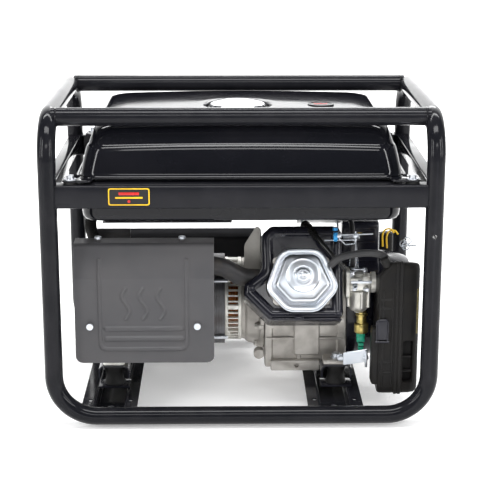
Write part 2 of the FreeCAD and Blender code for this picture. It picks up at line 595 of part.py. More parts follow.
node("starter_handle", fuse(
    taper(Y, "starter_x", "guide_end_y + running_gap", "rope_z", 12, 8, 12),
    rounded(box("starter_x - grip_diameter / 2", "starter_x + grip_diameter / 2",
                f"{grip_y} - 6", f"{grip_y} + 15", "rope_z - grip_length / 2",
                "rope_z + grip_length / 2"), 8, Z)))
node("starter_rope", rod(Y, "starter_x", "crank_y + 32", "rope_z",
                         "guide_end_y + running_gap - crank_y - 32", "rope_diameter / 2"))

node("flywheel", cut(fuse(rod(X, "crankcase_right + 8", "crank_y", "crank_z", 14,
                              "flywheel_radius"),
                          rod(X, "crankcase_right + 22", "crank_y", "crank_z", 28, 40)),
                     rod(X, "crankcase_right", "crank_y", "crank_z", 90, "crank_radius - 5")))
node("crankshaft", fuse(
    rod(X, "end_bell_left + 12", "crank_y", "crank_z", "crankcase_left - end_bell_left", 12),
    rod(X, "crankcase_left + 12", "crank_y", "crank_z", "crankcase_right - crankcase_left - 6",
        "crank_radius"),
    rod(X, "crankcase_right + 6", "crank_y", "crank_z", 52, "crank_radius - 5")))
node("rotor", cut(rod(X, "stator_left + 8", "crank_y", "crank_z",
                      "front_bell_left - stator_left - 16", "stator_bore - air_gap"),
                  rod(X, "stator_left", "crank_y", "crank_z", 300, 12)))

# ---------------------------------------------------------------- alternator
node("alternator_front_bell", cut(
    rod(X, "front_bell_left", "crank_y", "crank_z", "cover_left - front_bell_left",
        "alternator_radius"),
    rod(X, "front_bell_left - 1", "crank_y", "crank_z", "cover_left - front_bell_left + 2",
        "alternator_radius - bell_wall"),
    *[box("front_bell_left + 7", "cover_left - 6", "crank_y - 100", "crank_y + 100",
          f"crank_z + {k} * 8 - 2.4", f"crank_z + {k} * 8 + 2.4") for k in range(-4, 5)]))
node("stator_core", cut(
    rod(X, "stator_left", "crank_y", "crank_z", "front_bell_left - stator_left", "stator_radius"),
    rod(X, "stator_left - 1", "crank_y", "crank_z", "front_bell_left - stator_left + 2",
        "stator_bore")))
foot_beam = box("alternator_mount_x - 20", "alternator_mount_x + 20", "-mount_y - 20",
                "mount_y + 20", "bracket_top", "lug_top")
foot_web = box("alternator_mount_x - 12", "alternator_mount_x + 12", "-55", "75", "bracket_top",
               "crank_z - 60")
solid_bell = rod(X, "end_bell_left", "crank_y", "crank_z", "stator_left - end_bell_left",
                 "alternator_radius")
node("alternator_end_bell", cut(
    fuse(solid_bell, foot_beam, foot_web),
    rod(X, "end_bell_left + bell_wall", "crank_y", "crank_z", "stator_left - end_bell_left",
        "alternator_radius - bell_wall"),
    rod(X, "end_bell_left + 1", "crank_y", "crank_z", 20, 14),
    *[box("end_bell_left - 1", "end_bell_left + bell_wall + 1", f"crank_y + {k} * 13 - 3",
          f"crank_y + {k} * 13 + 3", "crank_z - 55", "crank_z - 22") for k in range(-3, 4)]))

# ---------------------------------------------------------------- exhaust
exhaust_route = [("cylinder_x - cylinder_half_width", -134, 247), (4, -134, 249),
                 (-30, -140, 270), ("muffler_right - 12", -146, 277)]
muffler_body = rounded(box("muffler_left", "muffler_right", "-muffler_front", "-muffler_back",
                           "muffler_bottom", "muffler_top"), "muffler_round", X)
muffler_room = rounded(box("muffler_left + muffler_sheet", "muffler_right - muffler_sheet",
                           "muffler_sheet - muffler_front", "-muffler_back - muffler_sheet",
                           "muffler_bottom + muffler_sheet", "muffler_top - muffler_sheet"),
                       "muffler_round - muffler_sheet", X)
tail_y, tail_z = "-(muffler_front + muffler_back) / 2", "muffler_bottom + muffler_round"
tail_pipe = rod(-X, "muffler_left + muffler_sheet", tail_y, tail_z, 12, "tail_pipe_diameter / 2")
tail_bore = rod(-X, "muffler_left + 10", tail_y, tail_z, 30,
                "tail_pipe_diameter / 2 - muffler_sheet")
node("muffler", cut(fuse(muffler_body, tail_pipe), muffler_room, tail_bore))
node("exhaust_pipe", cut(pipe(exhaust_route, "exhaust_diameter"), muffler_body,
                         parts["cylinder_head"]))

low, high = "shield_bottom", "shield_top"
face, lean = "-shield_front", "shield_lean - shield_front"
skin = "shield_sheet"
profile = [(face, low), (face, "shield_crease"), (lean, high), (f"{lean} + shield_roof", high),
           (f"{lean} + shield_roof", f"{high} - {skin}"), (f"{lean} + {skin}", f"{high} - {skin}"),
           (f"{face} + {skin}", "shield_crease"), (f"{face} + {skin}", low)]
shield_sheet_form = pad("YZ", profile, "shield_right - shield_left", x="shield_left")
corner_blanks = []
for end, x in ((-1, "shield_left"), (1, "shield_right")):
    middle = f"{x} - {end} * shield_corner"
    centre = f"({x} + {middle}) / 2"
    blank = box(f"{centre} - shield_corner / 2", f"{centre} + shield_corner / 2",
                f"{face} - 1", f"{face} + {skin} + 1", low, f"{low} + shield_corner")
    corner_blanks.append(cut(blank, rod(Y, middle, f"{face} - 1", f"{low} + shield_corner",
                                        f"{skin} + 2", "shield_corner")))
stand_offs = [rod(Y, x, f"{face} + {skin}", 183, "shield_front - muffler_front - shield_sheet", 6)
              for x in (-255, -95)]
roof_posts = [rod(Z, x, -178, "muffler_top", "shield_top - shield_sheet - muffler_top", 6)
              for x in (-255, -106)]
node("muffler_heat_shield",
     fuse(cut(shield_sheet_form, *corner_blanks), *stand_offs, *roof_posts))
bolts += [rod(-Y, x, face, 183, 4, 6) for x in (-270, -79)]
bolts += [rod(Z, x, -178, high, 4, 6) for x in (-255, -106)]
node("bolts", fuse(*bolts))

# ---------------------------------------------------------------- carburettor and air cleaner
cx, cy = "carburettor_x", "carburettor_y"
node("carburettor", fuse(
    box(f"{cx} - 24", f"{cx} + 24", f"{cy} - 20", f"{cy} + 20", 224, "carburettor_top - 18"),
    rod(Z, cx, cy, "bowl_bottom", "224 - bowl_bottom", "bowl_diameter / 2"),
    rod(X, "shroud_right", cy, 238, f"{cx} - shroud_right", 16),
    rod(X, cx, cy, 238, f"case_left - {cx}", 19),
    rod(Z, f"{cx} + 10", cy, 238, "carburettor_top - 12.7 - 238", 4),
    box(f"{cx} - 26", f"{cx} - 18", f"{cy} - 22", f"{cy} + 22", 212, 264)))
node("fuel_solenoid", fuse(rod(Z, f"{cx} + 6", cy, "bowl_bottom - 22", 22, 9),
                           rod(Z, f"{cx} + 6", cy, "bowl_bottom - 42", 20, 13)))
node("choke_lever", fuse(rod(Z, f"{cx} + 10", cy, "carburettor_top - 12.4", 8, 5),
                         box(f"{cx} - 16", f"{cx} + 10", f"{cy} - 5", f"{cy} + 5",
                             "carburettor_top - 8", "carburettor_top - 5.7")))
node("governor_lever", fuse(rod(X, "crankcase_right + running_gap", -76, 240, 22, 4),
                            box("crankcase_right + 14", "crankcase_right + 17", -84, -72, 236, 310)))

case_outline = [("case_left", "cleaner_bottom + 16"), ("case_left", "cleaner_top - 46"),
                ("cover_split - 8", "cleaner_top - 6"), ("cover_split", "cleaner_top - 6"),
                ("cover_split", "cleaner_bottom"), ("case_left + 18", "cleaner_bottom")]
case_skin = pad("XZ", case_outline, "cleaner_front - cleaner_back", y="-cleaner_back")
case_lip = box("case_left - 12", "case_left", "-cleaner_front", "-cleaner_front + 34", 62, 230)
case_room = pad("XZ", [("case_left + cleaner_wall", "cleaner_bottom + 20"),
                       ("case_left + cleaner_wall", "cleaner_top - 50"),
                       ("cover_split - 8", "cleaner_top - 11"),
                       ("cover_split + 1", "cleaner_top - 11"),
                       ("cover_split + 1", "cleaner_bottom + cleaner_wall"),
                       ("case_left + 20", "cleaner_bottom + cleaner_wall")],
                "cleaner_front - cleaner_back - 2 * cleaner_wall", y="-cleaner_back - cleaner_wall")
node("air_cleaner_case", cut(fuse(case_skin, case_lip), case_room))
cover_block = rounded(box("cover_split", "cleaner_right", "-cleaner_front", "-cleaner_back",
                          "cleaner_bottom + 4", "cleaner_top"), 10, Y)
cover_room = box("cover_split - 1", "cleaner_right - cleaner_wall",
                 "cleaner_wall - cleaner_front", "-cleaner_back - cleaner_wall",
                 "cleaner_bottom + 4 + cleaner_wall", "cleaner_top - cleaner_wall")
cover_slot = box("cover_split + 8", "cleaner_right - 12", "-cleaner_front - 1",
                 "-cleaner_front + 6", 66, 146)
node("air_cleaner_cover", cut(cover_block, cover_room, cover_slot))
node("air_filter_element", box("case_left + cleaner_wall", "cleaner_right - cleaner_wall",
                               "cleaner_wall - cleaner_front", "-cleaner_back - cleaner_wall",
                               160, "cleaner_top - 52"))
clip_y = "-cleaner_front - running_gap"
node("air_cleaner_clip", fuse(
    rod(X, "case_left - 6", f"{clip_y} - 4", 146, 26, 4),
    box("case_left - 4", "case_left + 18", f"{clip_y} - 8", f"{clip_y} - 3", 146, 192)))

# ---------------------------------------------------------------- hoses, lead and conduit
breather_route = [(161, -186, 288), (178, -182, 300), (212, -172, 304),
                  (246, -166, 298), (262, -162, 284), (268, -160, "cleaner_top - 32")]
node("breather_hose", cut(pipe(breather_route, "hose_diameter"), case_skin))
lead_route = [(124, -112, 336), (144, -146, 318), (184, -172, 276)]
node("spark_plug_cap", cut(pipe(lead_route, 10), case_shroud_way))
fuel_route = [(150, 88, "tank_bottom - 27"), (150, 60, "tank_bottom - 27"),
              (166, 20, "tank_bottom - 24"), (192, -30, "tank_bottom - 24"),
              (204, -84, "tank_bottom - 34"), (204, -112, 306), (204, -116, 240)]
node("fuel_hose", cut(pipe(fuel_route, "fuel_hose_diameter"), parts["carburettor"]))
conduit_route = [(-216, 2, "crank_z + 70"), (-236, -26, 276),
                 (-264, -62, 312), (-280, -84, 352), (-296, -92, 396), ("2 - post_x", -97, 436)]
node("wiring_conduit", cut(pipe(conduit_route, 24), end_bars[-1], solid_bell))

# ---------------------------------------------------------------- control side
node("oil_filler_cap", fuse(
    rod(Y, "dipstick_x", "crank_y + crankcase_back + running_gap", "dipstick_z", 14, 19),
    rod(-Y, "dipstick_x", "crank_y + crankcase_back + running_gap", "dipstick_z", 16, 11),
    rod(-Y, "dipstick_x", "crank_y + crankcase_back", "dipstick_z", "dipstick_length", 3)))
ctrl = fuse(*[box(x, f"{x} + 3", -150, -110, "shroud_rise", "shroud_rise + 22")
              for x in (112, 178)],
            box(105, 188, -150, -110, "shroud_rise + 22", "shroud_rise + 25"))
node("control_bracket", tilt(ctrl))

panel_skin = rounded(box("panel_left", "panel_right", "panel_back", "panel_front",
                         "panel_bottom", "panel_top"), 8, X)
panel_room = box("panel_left + panel_sheet", "panel_right - panel_sheet",
                 "panel_back + panel_sheet", "panel_front + 1", "panel_bottom + panel_sheet",
                 "panel_top - panel_sheet")
legs = [box(x, f"{x} + panel_leg_width", "hoop_y - panel_leg_depth", "hoop_y",
            "bottom_z + tube_r - 4", "panel_bottom + 4")
        for x in ("panel_left + 47", "panel_right - 90")]
node("panel_box", cut(fuse(panel_skin, *legs), panel_room, solid_hoops[1]))

socket_xs = [f"first_socket_x + {k} * socket_pitch" for k in range(3)]
plate = rounded(box("panel_left", "panel_right", "face_back", "face_front", "panel_bottom",
                    "panel_top"), 8, Y)
bores = [rod(Y, x, "face_back - 1", "socket_z", "face_sheet + 2", "socket_diameter / 2")
         for x in socket_xs]
bores += [box("breaker_x - 18", "breaker_x + 18", "face_back - 1", "face_front + 1",
              "control_row_z - 14", "control_row_z + 14"),
          rod(Y, "switch_x", "face_back - 1", "control_row_z", "face_sheet + 2",
              "switch_bore / 2"),
          rod(Y, "voltmeter_x", "face_back - 1", "control_row_z", "face_sheet + 2",
              "voltmeter_bore / 2")]
breaker_body = box("breaker_x - 22", "breaker_x + 22", "face_back - 20", "face_back",
                   "control_row_z - 18", "control_row_z + 18")
node("panel_face", fuse(cut(plate, *bores), breaker_body))
node("sockets", fuse(*[cut(
    fuse(rod(Y, x, "face_back - 24", "socket_z", "face_sheet + 24", "socket_diameter / 2"),
         rod(Y, x, "face_front", "socket_z", 5, "socket_diameter / 2 + 5")),
    rod(Y, x, "face_front + 5 - socket_recess", "socket_z", 20, "socket_diameter / 2 - 5"))
    for x in socket_xs]))
node("voltmeter", fuse(
    rod(Y, "voltmeter_x", "face_back - 20", "control_row_z", "face_sheet + 20", "voltmeter_bore / 2"),
    rod(Y, "voltmeter_x", "face_front", "control_row_z", 4, "voltmeter_bore / 2 + 5")))
node("breaker_lever", fuse(
    rod(X, "breaker_x - 8", "face_front + 3.4", "control_row_z", 16, 6),
    box("breaker_x - 6", "breaker_x + 6", "face_front + 4", "face_front + 12",
        "control_row_z + 1", "control_row_z + 9")))
node("engine_switch", fuse(
    rod(Y, "switch_x", "face_front + running_gap", "control_row_z", 5, "switch_bore / 2 + 8"),
    box("switch_x - 4", "switch_x + 4", "face_front + 5", "face_front + 12",
        "control_row_z - 14", "control_row_z + 14"),
    rod(Y, "switch_x", "face_back - 8", "control_row_z", 12, "switch_bore / 2 - 0.5")))

# ---------------------------------------------------------------- check and write
doc.recompute()
failed = [f"{o.Name} ({o.Label}): {o.State}" for o in doc.Objects
          if "Invalid" in o.State or "Error" in o.State]
for name, feature in parts.items():
    if feature.Shape.isNull() or not feature.Shape.isValid() or not feature.Shape.Solids:
        failed.append(f"{name}: no valid solid")
if failed:
    raise RuntimeError("the model did not build:\n" + "\n".join(failed))

os.makedirs("parts", exist_ok=True)
for name, feature in parts.items():
    feature.Shape.exportStep(f"parts/{name}.step")
print(len(parts), "nodes written")
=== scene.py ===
# %% [markdown]
# # A portable petrol generator in an open tube frame
#
# The design is already fixed elsewhere: every part has its place, its size and its joint. This lesson
# adds the looks. It opens the fixed frame, and then builds each visible piece in mesh code, gives it a
# finish made of shader nodes, and tells it which body it moves with.
#
# One habit runs through the whole lesson. Pieces are drawn in millimetres, because that is how a maker
# thinks about sheet metal and bolts, and one function turns them into metres at the very end.

import math
import random

import bmesh
import bpy
from mathutils import Matrix, Vector


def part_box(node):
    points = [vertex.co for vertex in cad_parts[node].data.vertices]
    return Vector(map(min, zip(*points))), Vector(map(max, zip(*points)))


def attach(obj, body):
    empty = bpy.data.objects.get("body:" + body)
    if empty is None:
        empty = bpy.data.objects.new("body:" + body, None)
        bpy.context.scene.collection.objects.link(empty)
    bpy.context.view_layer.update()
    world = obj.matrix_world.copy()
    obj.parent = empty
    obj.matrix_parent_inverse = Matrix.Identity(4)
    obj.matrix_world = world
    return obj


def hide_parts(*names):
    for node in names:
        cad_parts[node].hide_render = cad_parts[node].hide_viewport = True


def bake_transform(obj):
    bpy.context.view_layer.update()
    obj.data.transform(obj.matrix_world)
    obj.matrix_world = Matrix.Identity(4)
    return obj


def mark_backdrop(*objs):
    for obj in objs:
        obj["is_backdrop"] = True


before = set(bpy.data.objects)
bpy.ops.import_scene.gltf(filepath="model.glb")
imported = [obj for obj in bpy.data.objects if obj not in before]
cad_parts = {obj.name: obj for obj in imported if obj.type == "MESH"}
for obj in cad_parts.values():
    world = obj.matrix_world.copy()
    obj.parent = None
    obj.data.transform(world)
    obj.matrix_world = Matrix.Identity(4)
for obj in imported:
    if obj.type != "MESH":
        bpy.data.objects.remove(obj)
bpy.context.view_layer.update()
MM = 0.001


def span(node):
    """Lowest and highest corner of a fixed part, in millimetres."""
    low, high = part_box(node)
    return low / MM, high / MM


# %% [markdown]
# ## Camera
#
# A product picture is taken from far away with a long lens, so that upright tubes stay almost
# parallel. The camera here is 2.6 m in front, a metre up, and tips down by 15 degrees. Its direction is
# built from three small angles, because a camera on a tripod is never perfectly square to its subject.

# %% Place the camera
CAMERA_PLACE = (-28.16, -2635.4, 978.4)
PITCH, YAW, ROLL = 15.165, 1.0135, 0.081
lens = bpy.data.cameras.new("product_lens")
lens.sensor_width = 36
lens.lens = 102.72
lens.clip_end = 100
camera = bpy.data.objects.new("product_camera", lens)
bpy.context.scene.collection.objects.link(camera)
camera.matrix_world = (
    Matrix.Translation(Vector(CAMERA_PLACE) * MM)
    @ Matrix.Rotation(math.radians(-YAW), 4, "Z")
    @ Matrix.Rotation(math.radians(90 - PITCH), 4, "X")
    @ Matrix.Rotation(math.radians(ROLL), 4, "Z"))
bpy.context.scene.camera = camera
print("camera", [round(v, 3) for v in camera.matrix_world.translation])

# %% [markdown]
# ## Studio
#
# Black gloss paint shows nothing but what it reflects. In a dark room with a few narrow softboxes it
# stays deep black and draws thin bright lines along every tube; in a white room it turns grey. So the
# world is dim, the floor is pale, and the light comes from softboxes: tall strips left and right of the
# camera, a wide one overhead, and a pale wall behind that gives the grazing grey on the side tubes.

# %% Floor, wall, world and softboxes
def paper_finish(shade, roughness, glow):
    """Matt white paper that glows a little, so that shadows on it stay pale."""
    material = bpy.data.materials.new("studio_paper")
    material.use_nodes = True
    shader = material.node_tree.nodes["Principled BSDF"]
    shader.inputs["Base Color"].default_value = (shade, shade, shade, 1)
    shader.inputs["Roughness"].default_value = roughness
    shader.inputs["Emission Color"].default_value = (1, 1, 1, 1)
    shader.inputs["Emission Strength"].default_value = glow
    return material


def studio_sweep(wall_y=3.2, bend=0.8, half_width=7.0, height=5.0, front=-5.0):
    """A floor that curves up into a wall, like a roll of paper."""
    profile = [(front, 0.0), (wall_y - bend, 0.0)]
    for step in range(1, 13):
        angle = math.pi / 2 * step / 12
        profile.append((wall_y - bend + bend * math.sin(angle), bend - bend * math.cos(angle)))
    profile.append((wall_y, height))
    mesh = bpy.data.meshes.new("studio_sweep")
    points = [(x, y, z) for y, z in profile for x in (-half_width, half_width)]
    faces = [(2 * i, 2 * i + 1, 2 * i + 3, 2 * i + 2) for i in range(len(profile) - 1)]
    mesh.from_pydata(points, [], faces)
    for face in mesh.polygons:
        face.use_smooth = True
    sweep = bpy.data.objects.new("studio_sweep", mesh)
    mesh.materials.append(paper_finish(0.86, 0.9, glow=0.3))
    bpy.context.scene.collection.objects.link(sweep)
    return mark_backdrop(sweep)


studio_sweep()
world = bpy.data.worlds.new("studio_air")
world.use_nodes = True
air = world.node_tree.nodes["Background"]
air.inputs["Color"].default_value = (0.75, 0.78, 0.82, 1)
air.inputs["Strength"].default_value = 0.14
bpy.context.scene.world = world
bpy.context.scene.view_settings.view_transform = "Standard"


def softbox(name, place, target, width, height, watts):
    """A rectangular lamp at a place, facing a target point."""
    lamp = bpy.data.lights.new(name, "AREA")
    lamp.shape = "RECTANGLE"
    lamp.size, lamp.size_y = width, height
    lamp.energy = watts
    holder = bpy.data.objects.new(name, lamp)
    holder.location = place
    aim = Vector(target) - Vector(place)
    holder.rotation_euler = aim.to_track_quat("-Z", "Y").to_euler()
    bpy.context.scene.collection.objects.link(holder)


STRIP = (0.35, 1.9)
for side, name in ((-1, "left"), (1, "right")):
    softbox(f"strip_{name}", (side * 2.3, -2.2, 1.5), (0, 0, 0.3), *STRIP, 34)
    softbox(f"strip_{name}_outer", (side * 3.1, -1.2, 1.3), (0, 0, 0.3), *STRIP, 24)
softbox("overhead", (0, -1.1, 2.9), (0, -0.1, 0.2), 2.2, 0.7, 66)
softbox("front_fill", (0.2, -3.4, 2.3), (0, 0, 0.2), 1.6, 0.5, 20)
softbox("wall_wash", (0, 1.2, 3.6), (0, 3.2, 1.0), 4.5, 0.6, 190)
softbox("back_fill", (0.4, 2.6, 2.0), (0, 0.3, 0.3), 1.6, 0.5, 22)

# %% [markdown]
# ## Shared surface effects
#
# Three effects turn up on almost every material, so each is a node group made once. `grain` is a fine
# unevenness: the orange peel of powder coat, the pitting of a sand casting or the texture of moulded
# plastic, depending on its scale. `tone` lets a colour drift a little over the surface. `worn_edges`
# finds convex edges, where paint rubs thin. The first two read the object's own coordinates and the
# third reads its shape, so all of them stay on the piece when it moves.

# %% Node group tools
def new_group(name, inputs, outputs):
    """An empty shader group with named sockets, and its entry and exit nodes."""
    group = bpy.data.node_groups.new(name, "ShaderNodeTree")
    kinds = {"colour": "NodeSocketColor", "value": "NodeSocketFloat", "vector": "NodeSocketVector"}
    for label, kind, default in inputs:
        socket = group.interface.new_socket(label, in_out="INPUT", socket_type=kinds[kind])
        socket.default_value = default
    for label, kind in outputs:
        group.interface.new_socket(label, in_out="OUTPUT", socket_type=kinds[kind])
    return group, group.nodes.new("NodeGroupInput"), group.nodes.new("NodeGroupOutput")


def noise_at(tree, source, scale, detail):
    """A noise texture that reads the object's own coordinates at a scale taken from a socket."""
    coordinates = tree.nodes.new("ShaderNodeTexCoord")
    noise = tree.nodes.new("ShaderNodeTexNoise")
    noise.inputs["Detail"].default_value = detail
    tree.links.new(coordinates.outputs["Object"], noise.inputs["Vector"])
    tree.links.new(source.outputs[scale], noise.inputs["Scale"])
    return noise


def wire(group, *links):
    """Links (node, output, node, input) rows."""
    for source, output, target, entry in links:
        group.links.new(source.outputs[output], target.inputs[entry])


def colour_mix(group):
    mix = group.nodes.new("ShaderNodeMix")
    mix.data_type = "RGBA"
    return mix


# The mix node has a factor, a first and a second colour and a result for each kind of data, so its
# colour sockets are found by number.
FIRST, SECOND, MIXED = 6, 7, 2


def grain_group():
    group, entry, leave = new_group(
        "grain",
        [("Scale", "value", 900.0), ("Depth", "value", 0.1)],
        [("Normal", "vector"), ("Pits", "value")])
    noise = noise_at(group, entry, "Scale", 3.0)
    bump = group.nodes.new("ShaderNodeBump")
    bump.inputs["Distance"].default_value = 0.0006
    wire(group, (entry, "Depth", bump, "Strength"), (noise, "Fac", bump, "Height"),
         (bump, "Normal", leave, "Normal"), (noise, "Fac", leave, "Pits"))
    return group


def tone_group():
    group, entry, leave = new_group(
        "tone",
        [("Colour", "colour", (0.5, 0.5, 0.5, 1)), ("Other", "colour", (0.4, 0.4, 0.4, 1)),
         ("Scale", "value", 30.0), ("Low", "value", 0.4), ("High", "value", 0.6)],
        [("Colour", "colour"), ("Mask", "value")])
    noise = noise_at(group, entry, "Scale", 6.0)
    ramp = group.nodes.new("ShaderNodeMapRange")
    mix = colour_mix(group)
    wire(group, (noise, "Fac", ramp, "Value"), (entry, "Low", ramp, "From Min"),
         (entry, "High", ramp, "From Max"), (ramp, "Result", mix, "Factor"),
         (entry, "Colour", mix, FIRST), (entry, "Other", mix, SECOND),
         (mix, MIXED, leave, "Colour"), (ramp, "Result", leave, "Mask"))
    return group


def worn_edges_group():
    group, entry, leave = new_group(
        "worn_edges",
        [("Colour", "colour", (0.1, 0.1, 0.1, 1)), ("Bare", "colour", (0.5, 0.5, 0.5, 1)),
         ("Amount", "value", 0.5)],
        [("Colour", "colour")])
    geometry = group.nodes.new("ShaderNodeNewGeometry")
    ramp = group.nodes.new("ShaderNodeMapRange")
    ramp.inputs["From Min"].default_value = 0.53
    ramp.inputs["From Max"].default_value = 0.62
    scale = group.nodes.new("ShaderNodeMath")
    scale.operation = "MULTIPLY"
    mix = colour_mix(group)
    wire(group, (geometry, "Pointiness", ramp, "Value"), (ramp, "Result", scale, 0),
         (entry, "Amount", scale, 1), (scale, 0, mix, "Factor"), (entry, "Colour", mix, FIRST),
         (entry, "Bare", mix, SECOND), (mix, MIXED, leave, "Colour"))
    return group


GROUPS = {"grain": grain_group(), "tone": tone_group(), "worn_edges": worn_edges_group()}
print("shared groups:", sorted(GROUPS))

# %% [markdown]
# ## Finishes
#
# A finish is a material filed under the name of the part's own slot. Each is described by the things a
# painter or
# a moulder would say: colour and how it drifts, gloss, how deep the grain is and how fine, and how much
# bare metal shows at the edges. Constants are set straight on the shader; only what changes over the
# surface comes through a group.

# %% Build a finish
def finish(name, colour, drift, roughness, metallic=0.0, tone_scale=25.0, grain=(900.0, 0.05),
           coat=0.0, rough_drift=0.06, bare=None, bare_amount=0.0, sheen=0.0, specular=0.5):
    material = bpy.data.materials.new(name)
    material.use_nodes = True
    tree = material.node_tree
    shader = tree.nodes["Principled BSDF"]
    shader.inputs["Metallic"].default_value = metallic
    shader.inputs["Coat Weight"].default_value = coat
    shader.inputs["Coat Roughness"].default_value = 0.06
    shader.inputs["Sheen Weight"].default_value = sheen
    shader.inputs["Specular IOR Level"].default_value = specular

    def place(group):
        node = tree.nodes.new("ShaderNodeGroup")
        node.node_tree = GROUPS[group]
        return node

    tone = place("tone")
    tone.inputs["Colour"].default_value = (*colour, 1)
    tone.inputs["Other"].default_value = (*drift, 1)
    tone.inputs["Scale"].default_value = tone_scale
    worn = place("worn_edges")
    worn.inputs["Bare"].default_value = (*(bare or colour), 1)
    worn.inputs["Amount"].default_value = bare_amount
    pits = place("grain")
    pits.inputs["Scale"].default_value, pits.inputs["Depth"].default_value = grain
    gloss = tree.nodes.new("ShaderNodeMapRange")
    gloss.inputs["To Min"].default_value = max(0.02, roughness - rough_drift)
    gloss.inputs["To Max"].default_value = roughness + rough_drift
    wire(tree, (tone, "Colour", worn, "Colour"), (worn, "Colour", shader, "Base Color"),
         (pits, "Normal", shader, "Normal"), (tone, "Mask", gloss, "Value"),
         (gloss, "Result", shader, "Roughness"))
    return material


# %% Mix the paints, castings, plastics and rubbers
FINISH = {
    "frame_paint": finish("gloss_black_powder_coat", (0.0075, 0.0078, 0.0100), (0.0110, 0.0110, 0.0135),
                          0.14, grain=(300.0, 0.04), coat=0.05, rough_drift=0.03, specular=0.13,
                          bare=(0.03, 0.03, 0.035), bare_amount=0.2),
    "tank_paint": finish("gloss_black_enamel", (0.0055, 0.0058, 0.0080), (0.0080, 0.0080, 0.0105), 0.09,
                         grain=(160.0, 0.012), coat=0.1, rough_drift=0.02, tone_scale=8.0,
                         specular=0.22),
    "shield_paint": finish("satin_heat_resistant_grey", (0.060, 0.059, 0.063), (0.070, 0.068, 0.071),
                           0.50, grain=(1500.0, 0.16), tone_scale=12.0, bare=(0.16, 0.155, 0.15),
                          bare_amount=0.5, specular=0.35),
    "black_sheet": finish("semi_gloss_black_sheet", (0.008, 0.008, 0.013), (0.012, 0.012, 0.018), 0.20,
                          grain=(240.0, 0.03), coat=0.12, bare=(0.04, 0.04, 0.05), bare_amount=0.3,
                          specular=0.3),
    "black_plastic": finish("satin_black_plastic", (0.010, 0.0095, 0.0095), (0.014, 0.013, 0.012), 0.40,
                            grain=(1400.0, 0.22), bare=(0.04, 0.04, 0.04), bare_amount=0.4,
                            specular=0.13),
    "gloss_plastic": finish("gloss_black_plastic", (0.009, 0.009, 0.009), (0.012, 0.011, 0.011), 0.20,
                             grain=(700.0, 0.06), bare=(0.05, 0.05, 0.05), bare_amount=0.3,
                             specular=0.3),
    "cast_aluminium": finish("sand_cast_aluminium", (0.52, 0.495, 0.46), (0.42, 0.395, 0.365), 0.48,
                             metallic=0.82, grain=(1150.0, 0.42), tone_scale=38.0,
                             bare=(0.72, 0.70, 0.66), bare_amount=0.5),
    "bell_aluminium": finish("die_cast_aluminium", (0.78, 0.765, 0.71), (0.66, 0.645, 0.59), 0.44,
                             metallic=0.75, grain=(1300.0, 0.22), tone_scale=45.0,
                             bare=(0.88, 0.88, 0.85), bare_amount=0.4),
    "zinc": finish("bright_zinc_plate", (0.66, 0.68, 0.72), (0.58, 0.62, 0.67), 0.32, metallic=1.0,
                   grain=(260.0, 0.006), tone_scale=22.0, rough_drift=0.03),
    "cap_chrome": finish("bright_plate", (0.83, 0.84, 0.86), (0.76, 0.77, 0.80), 0.10, metallic=1.0,
                         grain=(300.0, 0.03)),
    "rubber": finish("moulded_rubber", (0.012, 0.012, 0.012), (0.018, 0.017, 0.017), 0.66,
                     grain=(1600.0, 0.30), sheen=0.05, specular=0.25),
    "hose_rubber": finish("grey_black_hose", (0.036, 0.036, 0.038), (0.048, 0.047, 0.048), 0.50,
                          grain=(1700.0, 0.20), tone_scale=60.0, sheen=0.05, specular=0.35),
    "exhaust_steel": finish("exhaust_grey_black", (0.040, 0.039, 0.041), (0.062, 0.056, 0.052), 0.50,
                            metallic=0.2, grain=(900.0, 0.30), tone_scale=50.0, specular=0.3,
                            bare=(0.12, 0.11, 0.10), bare_amount=0.5),
    "machined_steel": finish("machined_steel", (0.55, 0.55, 0.55), (0.46, 0.46, 0.47), 0.26,
                             metallic=1.0, grain=(800.0, 0.10)),
    "laminations": finish("stacked_sheet_edges", (0.20, 0.20, 0.21), (0.13, 0.12, 0.12), 0.48,
                          metallic=0.8, grain=(1000.0, 0.30)),
    "cast_iron": finish("cast_iron", (0.11, 0.11, 0.115), (0.075, 0.072, 0.07), 0.55, metallic=0.6,
                        grain=(800.0, 0.45)),
    "brass": finish("yellow_passivated_brass", (0.62, 0.49, 0.17), (0.45, 0.37, 0.13), 0.34,
                    metallic=0.9, grain=(900.0, 0.25), tone_scale=120.0),
    "filter_foam": finish("oiled_foam", (0.16, 0.13, 0.045), (0.09, 0.075, 0.03), 0.85,
                          grain=(500.0, 0.9), tone_scale=300.0),
    "panel_paint": finish("textured_panel_black", (0.011, 0.011, 0.013), (0.016, 0.016, 0.018), 0.58,
                          grain=(700.0, 0.4), bare=(0.04, 0.04, 0.04), bare_amount=0.3,
                          specular=0.0),
    "rope": finish("braided_nylon", (0.50, 0.49, 0.46), (0.32, 0.31, 0.29), 0.80,
                   grain=(900.0, 0.5), tone_scale=400.0),
}
